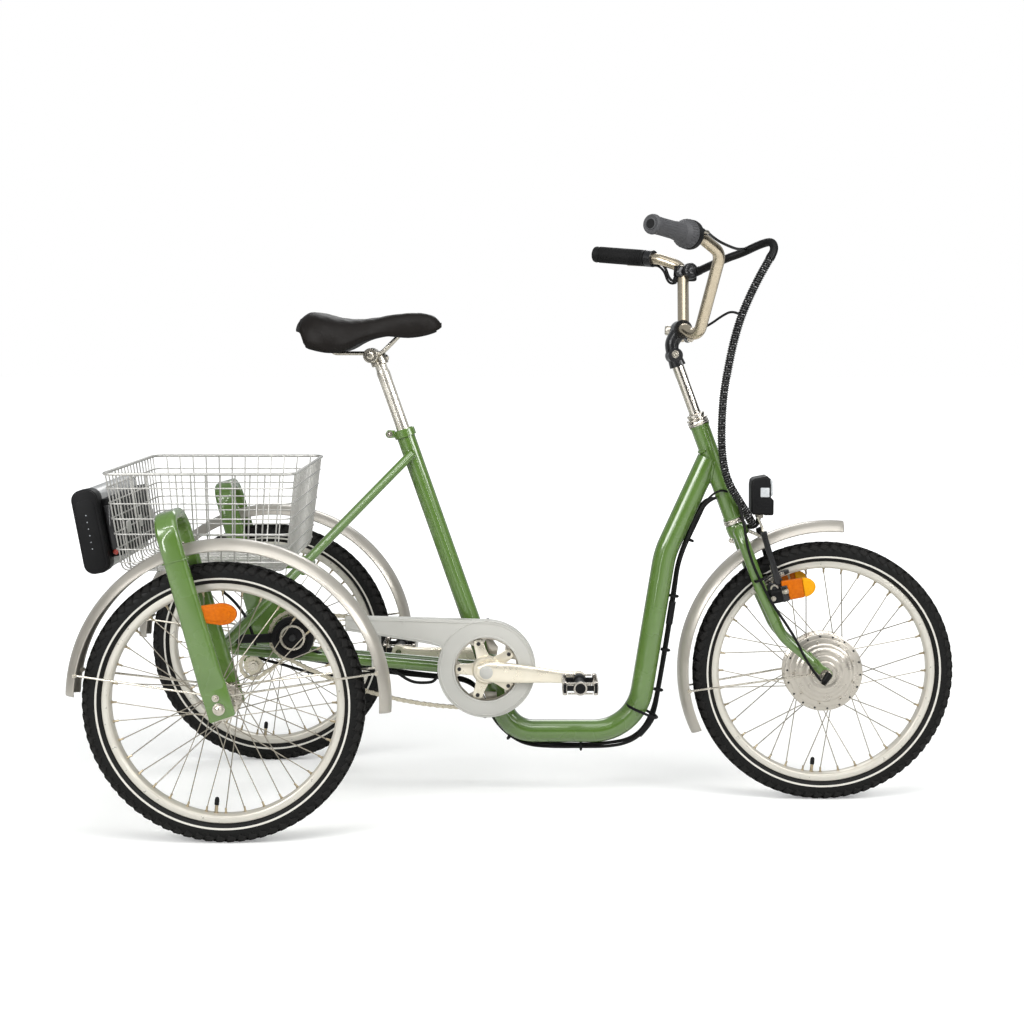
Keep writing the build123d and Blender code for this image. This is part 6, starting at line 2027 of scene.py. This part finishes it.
def make_harness():
    """Two cables under the main tube that sway a little against each other, sleeves, a cross lead, loops and ties."""
    low = [(876, 0, 580), (862, 0, 549), (826.5, 0, 470), (818, 0, 405), (806, 0, 318), (790, 0, 218), (781, 0, 168),
           (762, 0, 132), (734, 0, 111), (694, 0, 103), (640, 0, 101.4), (580, 0, 102.2), (534, 0, 106), (503, 0, 121),
           (474, 0, 150), (459, 0, 179), (447, 0, 205), (430, 0, 224), (404, 0, 234), (352, 0, 237.6), (270, 0, 247)]
    pair = [[], []]
    for index, (x, y, z) in enumerate(low):
        sway = 2.2 + 1.2 * math.sin(index * 1.9)
        drop = 2.7 + 0.9 * math.sin(index * 2.3)
        pair[0].append((x + drop * 0.5, y - sway, z - drop * 0.9))
        pair[1].append((x - drop * 0.5, y + sway, z + drop * 0.9))
    harness = Shape()
    for side, line in enumerate(pair):
        head = [(892, 3, 583)] if side else [(896, -12, 586)]
        tail = [(150, -4 + side * 7, 264), (60, -3 + side * 5, 278), (-6, -2 + side * 3, 287)]
        harness.tube(settled(head + line + tail, 8), 3.3 if side else 3.0, 0, 12)
    for sleeve in ([(780.6, 0, 165), (775, 0, 152), (764, 0, 136), (752, 0, 123)],
                   [(815.5, 0, 384), (812, 0, 360), (809, 0, 340)]):
        harness.tube(settled(sleeve, 6), 6.6, 1, 14)
    cross = [(826, -6, 462), (838, -17, 500), (846, -22, 524), (858, -24, 553), (872, -24, 576), (888, -23.5, 594),
             (904, -22.5, 601), (915, -19, 599), (921, -10, 594)]
    harness.tube(settled(cross, 10), 2.1, 0, 12)
    loops = [[(275, -22, 254), (286, -22, 248), (294, -22, 242.5), (305, -22, 235), (320, -22, 229), (342, -22, 228.6),
              (357, -22, 231), (366, -20, 247), (372, -12, 262)],
             [(275, -20, 254), (240, -16, 262), (200, -16, 262), (160, -17, 262), (146, -20, 268)],
             [(-60, -14, 418), (-48, -14, 403), (-33, -14, 391), (-15, -14, 370), (-3, -14, 350), (9, -16, 318),
              (14, -20, 296), (20, -22, 276), (41, -22, 270), (62, -22, 265), (89, -20, 256), (115, -18, 248),
              (155, -16, 241), (210, -14, 243), (270, -10, 250)],
             [(123, -30, 294), (139, -28, 287), (155, -24, 279), (190, -18, 262), (230, -14, 252), (270, -8, 247)]]
    for line in loops:
        harness.tube(settled(line, 8), 2.9, 0, 12)
    harness_ties(harness)
    piece("frame_cable_harness", [harness.mesh(black_sheath, black_plastic)], "frame", "black_rubber", "frame_harness")


make_control_bundle()
make_motor_lead()
make_harness()


# ---------------------------------------------------------------- seat post, clamp, rails, saddle
post_top_z = 846


def make_seat_post():
    """The post, necked at its top, with six height marks turned into it."""
    post = Shape()
    foot, top = seat_point(626), seat_point(post_top_z)
    way = (top - foot).normalized()
    length = (top - foot).length
    outline = [(0, 0), (12.7, 0)]
    for mark in range(6):
        start = (seat_point(738 + mark * 12) - foot).length
        outline += [(12.7, start), (12.5, start + 0.1), (12.5, start + 0.6), (12.7, start + 0.7)]
    outline += [(12.7, length - 24), (11.6, length - 20), (11.1, length - 16), (11.1, length), (0, length)]
    post.lathe(foot, way, outline, 0, 44)
    piece("seat_post_tube", [post.mesh(seat_alloy)], "seat", "aluminium", "seat_post")


def make_saddle_clamp():
    """The clamp on the post, with its toothed ends and nuts, and the saddle's rails."""
    clamp = Shape()
    centre = Vector((seat_point(post_top_z).x - 14, 0, 856))
    socket = [(11.2, 0), (15.4, 0), (16.4, 1.2), (16.4, 20), (14, 24), (0, 24.6)]
    clamp.lathe(seat_point(838), seat_point(post_top_z) - seat_point(838), socket, 0, 36, closed=False)
    clamp.lathe((centre.x, -30, centre.z), (0, 1, 0), [(0, 0), (12.2, 0), (14, 1.6), (14, 10), (13.4, 10.8),
                                                       (13.4, 13), (14, 13.6), (14, 46.4), (13.4, 47), (13.4, 49.2),
                                                       (14, 50), (14, 58.4), (12.2, 60), (0, 60)], 0, 40)
    for side in (-1, 1):
        for tooth in range(20):
            degrees = 360 * tooth / 20
            clamp.block(round_angle(centre, 12.9, degrees, side * 30.2), (2, 1.4, 2), 0.3, 0, turned(-degrees))
        clamp.hex_head((centre.x, side * 29.4, centre.z), (0, side, 0), 13, 6)
        clamp.rod((centre.x, side * 34, centre.z), (centre.x, side * 37.6, centre.z), 3.9, 0, 18)
    bolt(clamp, (seat_point(850).x + 13, 0, 851), (0.96, 0, 0.28), 10, 5)
    for side in (-1, 1):
        clamp.tube(rounded([(137, side * 31, 892), (170, side * 22, 860), (258, side * 22, 860),
                            (296, side * 14, 898)], [16, 16], 3), 3.5, 0, 16)
    bend = Shape()
    bend.sweep(rounded([(296, -14, 898), (304, -8, 905), (304, 8, 905), (296, 14, 898)], [6, 6], 2),
               soft_rectangle(5, 5, 1.6, 3), (0, 0, 1), 0)
    piece("saddle_rails_and_clamp", [clamp.mesh(plated), bend.mesh(plated)], "seat", "steel", "saddle_rails")


def make_seat_clamp():
    collar = Shape()
    way = seat_point(1) - seat_point(0)
    collar.lathe(seat_point(701.4), way, [(17.5, 0), (20.2, 0), (21, 0.9), (21, 13.4), (20.2, 14.4), (17.5, 14.4)], 0,
                 56)
    ear_x = seat_point(709).x - 28
    for side in (-1, 1):
        nose = [polar(8, math.radians(angle), ear_x, 706.6) for angle in range(90, 271, 15)]
        collar.prism(nose + [(ear_x + 10, 699.6), (ear_x + 10, 713.6)], side * 1.4, side * 9, 1.2, 0)
    bolt(collar, (ear_x, -8, 706.6), (0, -1, 0), 7.4, 2.4, 1)
    cap_nut(collar, (ear_x, 8, 706.6), (0, 1, 0), 9, 1)
    piece("seat_tube_clamp_ring", [collar.mesh(enamel, plated)], "frame", "green_paint", "seat_clamp")


def smooth_height(marks, x):
    """Value at x of a smooth line through the marks."""
    if x <= marks[0][0]:
        return marks[0][1]
    if x > marks[-1][0]:
        return marks[-1][1]
    index = next(index for index in range(len(marks) - 1) if x <= marks[index + 1][0])
    (x0, z0), (x1, z1) = marks[index], marks[index + 1]
    before, after = marks[max(index - 1, 0)], marks[min(index + 2, len(marks) - 1)]
    slope_in = (z1 - before[1]) / (x1 - before[0])
    slope_out = (after[1] - z0) / (after[0] - x0)
    run = x1 - x0
    share = (x - x0) / run
    return (z0 * (1 + 2 * share) * (1 - share) ** 2 + slope_in * run * share * (1 - share) ** 2 + z1 * share ** 2
            * (3 - 2 * share) + slope_out * run * share ** 2 * (share - 1))


# marks along the saddle, (x, value): half of its breadth, its top, and its lower edge
saddle_half = [(97, 14), (100, 40), (106, 66), (118, 87), (140, 99.5), (163, 102), (188, 95), (214, 78), (240, 57),
               (264, 43.5), (290, 35), (318, 30.6), (343, 27), (359, 21), (368, 13), (372.4, 4)]
saddle_top = [(97, 908), (100, 912.5), (105, 920), (116, 932.6), (130, 939.6), (152, 937.8), (184, 930), (220, 926.3),
              (253, 929), (281, 934), (317, 937), (342, 935.4), (358, 930), (366, 923.4), (372.4, 914.6)]
saddle_skirt = [(97, 902), (104, 900.6), (111, 898), (115, 889), (119, 878.6), (126, 872.6), (140, 868.4),
                (160, 864.6), (176, 864), (192, 866.4), (206, 872.4), (220, 880.4), (236, 887.4), (254, 892),
                (272, 894.6), (290, 893), (310, 891.6), (332, 894), (353, 899.4), (366, 905), (372.4, 909.6)]


def closed_skin(rows):
    """A shape from closed rows of points, with both ends closed."""
    shape = Shape().grid(rows, close_columns=True)
    shape.face(list(reversed(rows[0])))
    shape.face(rows[-1])
    return shape


def make_saddle_cushion():
    """The padded cover, closed below, with a seam across its rear and small puckers."""
    columns, around = 88, 44
    rows = []
    for step in range(columns):
        share = step / (columns - 1)
        x = 97.2 + 275 * (0.25 * share + 0.75 * (0.5 - 0.5 * math.cos(math.pi * share)))
        half = smooth_height(saddle_half, x)
        top, skirt = smooth_height(saddle_top, x), smooth_height(saddle_skirt, x)
        row = []
        for index in range(around + 1):
            angle = math.pi * index / around
            across = half * (1 if math.cos(angle) > 0 else -1) * abs(math.cos(angle)) ** 0.62
            rise = math.sin(angle) ** 0.78
            # the dish under the rider, the middle groove, and the edge tucked under
            dish = 4.2 * math.exp(-((across / max(half, 1)) / 0.42) ** 2) * math.exp(-((x - 170) / 62) ** 2)
            groove = 2.2 * math.exp(-(across / 9.0) ** 2) * math.exp(-((x - 262) / 60) ** 2)
            tuck = 0.94 if index in (0, around) else 1.0
            row.append((x, across * tuck, skirt + (top - skirt) * rise - dish - groove))
        under = []
        for index in range(1, 12):
            share_across = 1 - 2 * index / 12
            under.append((x, -share_across * half * 0.9, skirt + 3.4 + 5.6 * (1 - share_across ** 2)))
        rows.append(row + under)
    seam = [Vector(point) + Vector((0, 0, 0.2)) for point in rows[9][5:around - 4]]
    mesh = closed_skin(rows).mesh(saddle_vinyl)
    cover = bmesh.new()
    cover.from_mesh(mesh)
    bmesh.ops.recalc_face_normals(cover, faces=cover.faces)
    bmesh.ops.triangulate(cover, faces=[face for face in cover.faces if len(face.verts) > 4])
    pucker_height = 0.35 * MM
    for vertex in cover.verts:
        x, y = vertex.co.xy

        pucker = pucker_height * math.sin(x * 230 + y * 90) * math.sin(y * 170 - x * 60)
        if vertex.normal.z > 0.2:
            vertex.co += vertex.normal * pucker
    cover.to_mesh(mesh)
    cover.free()
    pad = piece("saddle_cushion", [mesh, wired([seam], 0.7, saddle_vinyl, 8)], "seat", "saddle_cover", "saddle",
                crease=50)


def make_saddle_pan():
    rim_rows = []
    for step in range(40):
        x = 122 + 240 * (0.5 - 0.5 * math.cos(math.pi * step / 39))
        half = smooth_height(saddle_half, x) * 0.93
        skirt = smooth_height(saddle_skirt, x)
        row = []
        for index in range(25):
            share = -1 + 2 * index / 24
            row.append((x, share * half, skirt + 0.6 + 7.0 * (1 - abs(share) ** 2.4)))
        low = [(point[0], point[1] * 0.985, point[2] - 3.2) for point in reversed(row)]
        rim_rows.append(row + low)
    base = closed_skin(rim_rows)
    for side in (-1, 1):
        base.block((140, side * 31, 889), (20, 16, 8), 2.2, 0)
    base.block((298, 0, 902), (22, 36, 8), 2.2, 0)
    piece("saddle_base_pan", [base.mesh(saddle_base)], "seat", "black_plastic")


make_seat_post()
make_saddle_clamp()
make_seat_clamp()
make_saddle_cushion()
make_saddle_pan()


# ---------------------------------------------------------------- finishes of the construction pieces that show
def dress(coating, *nodes):
    for name in nodes:
        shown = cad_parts[name]
        shown.data.materials.clear()
        shown.data.materials.append(coating)


dress(enamel, "main_tube", "head_tube", "seat_tube", "rear_cross_tube", "seat_stays", "chain_stays", "hub_bracket",
      "basket_carrier")


# ---------------------------------------------------------------- close
bpy.context.scene.view_settings.view_transform = "Standard"
set_world()
lay_floor()
hang_cards()
place_lamps()
set_camera()
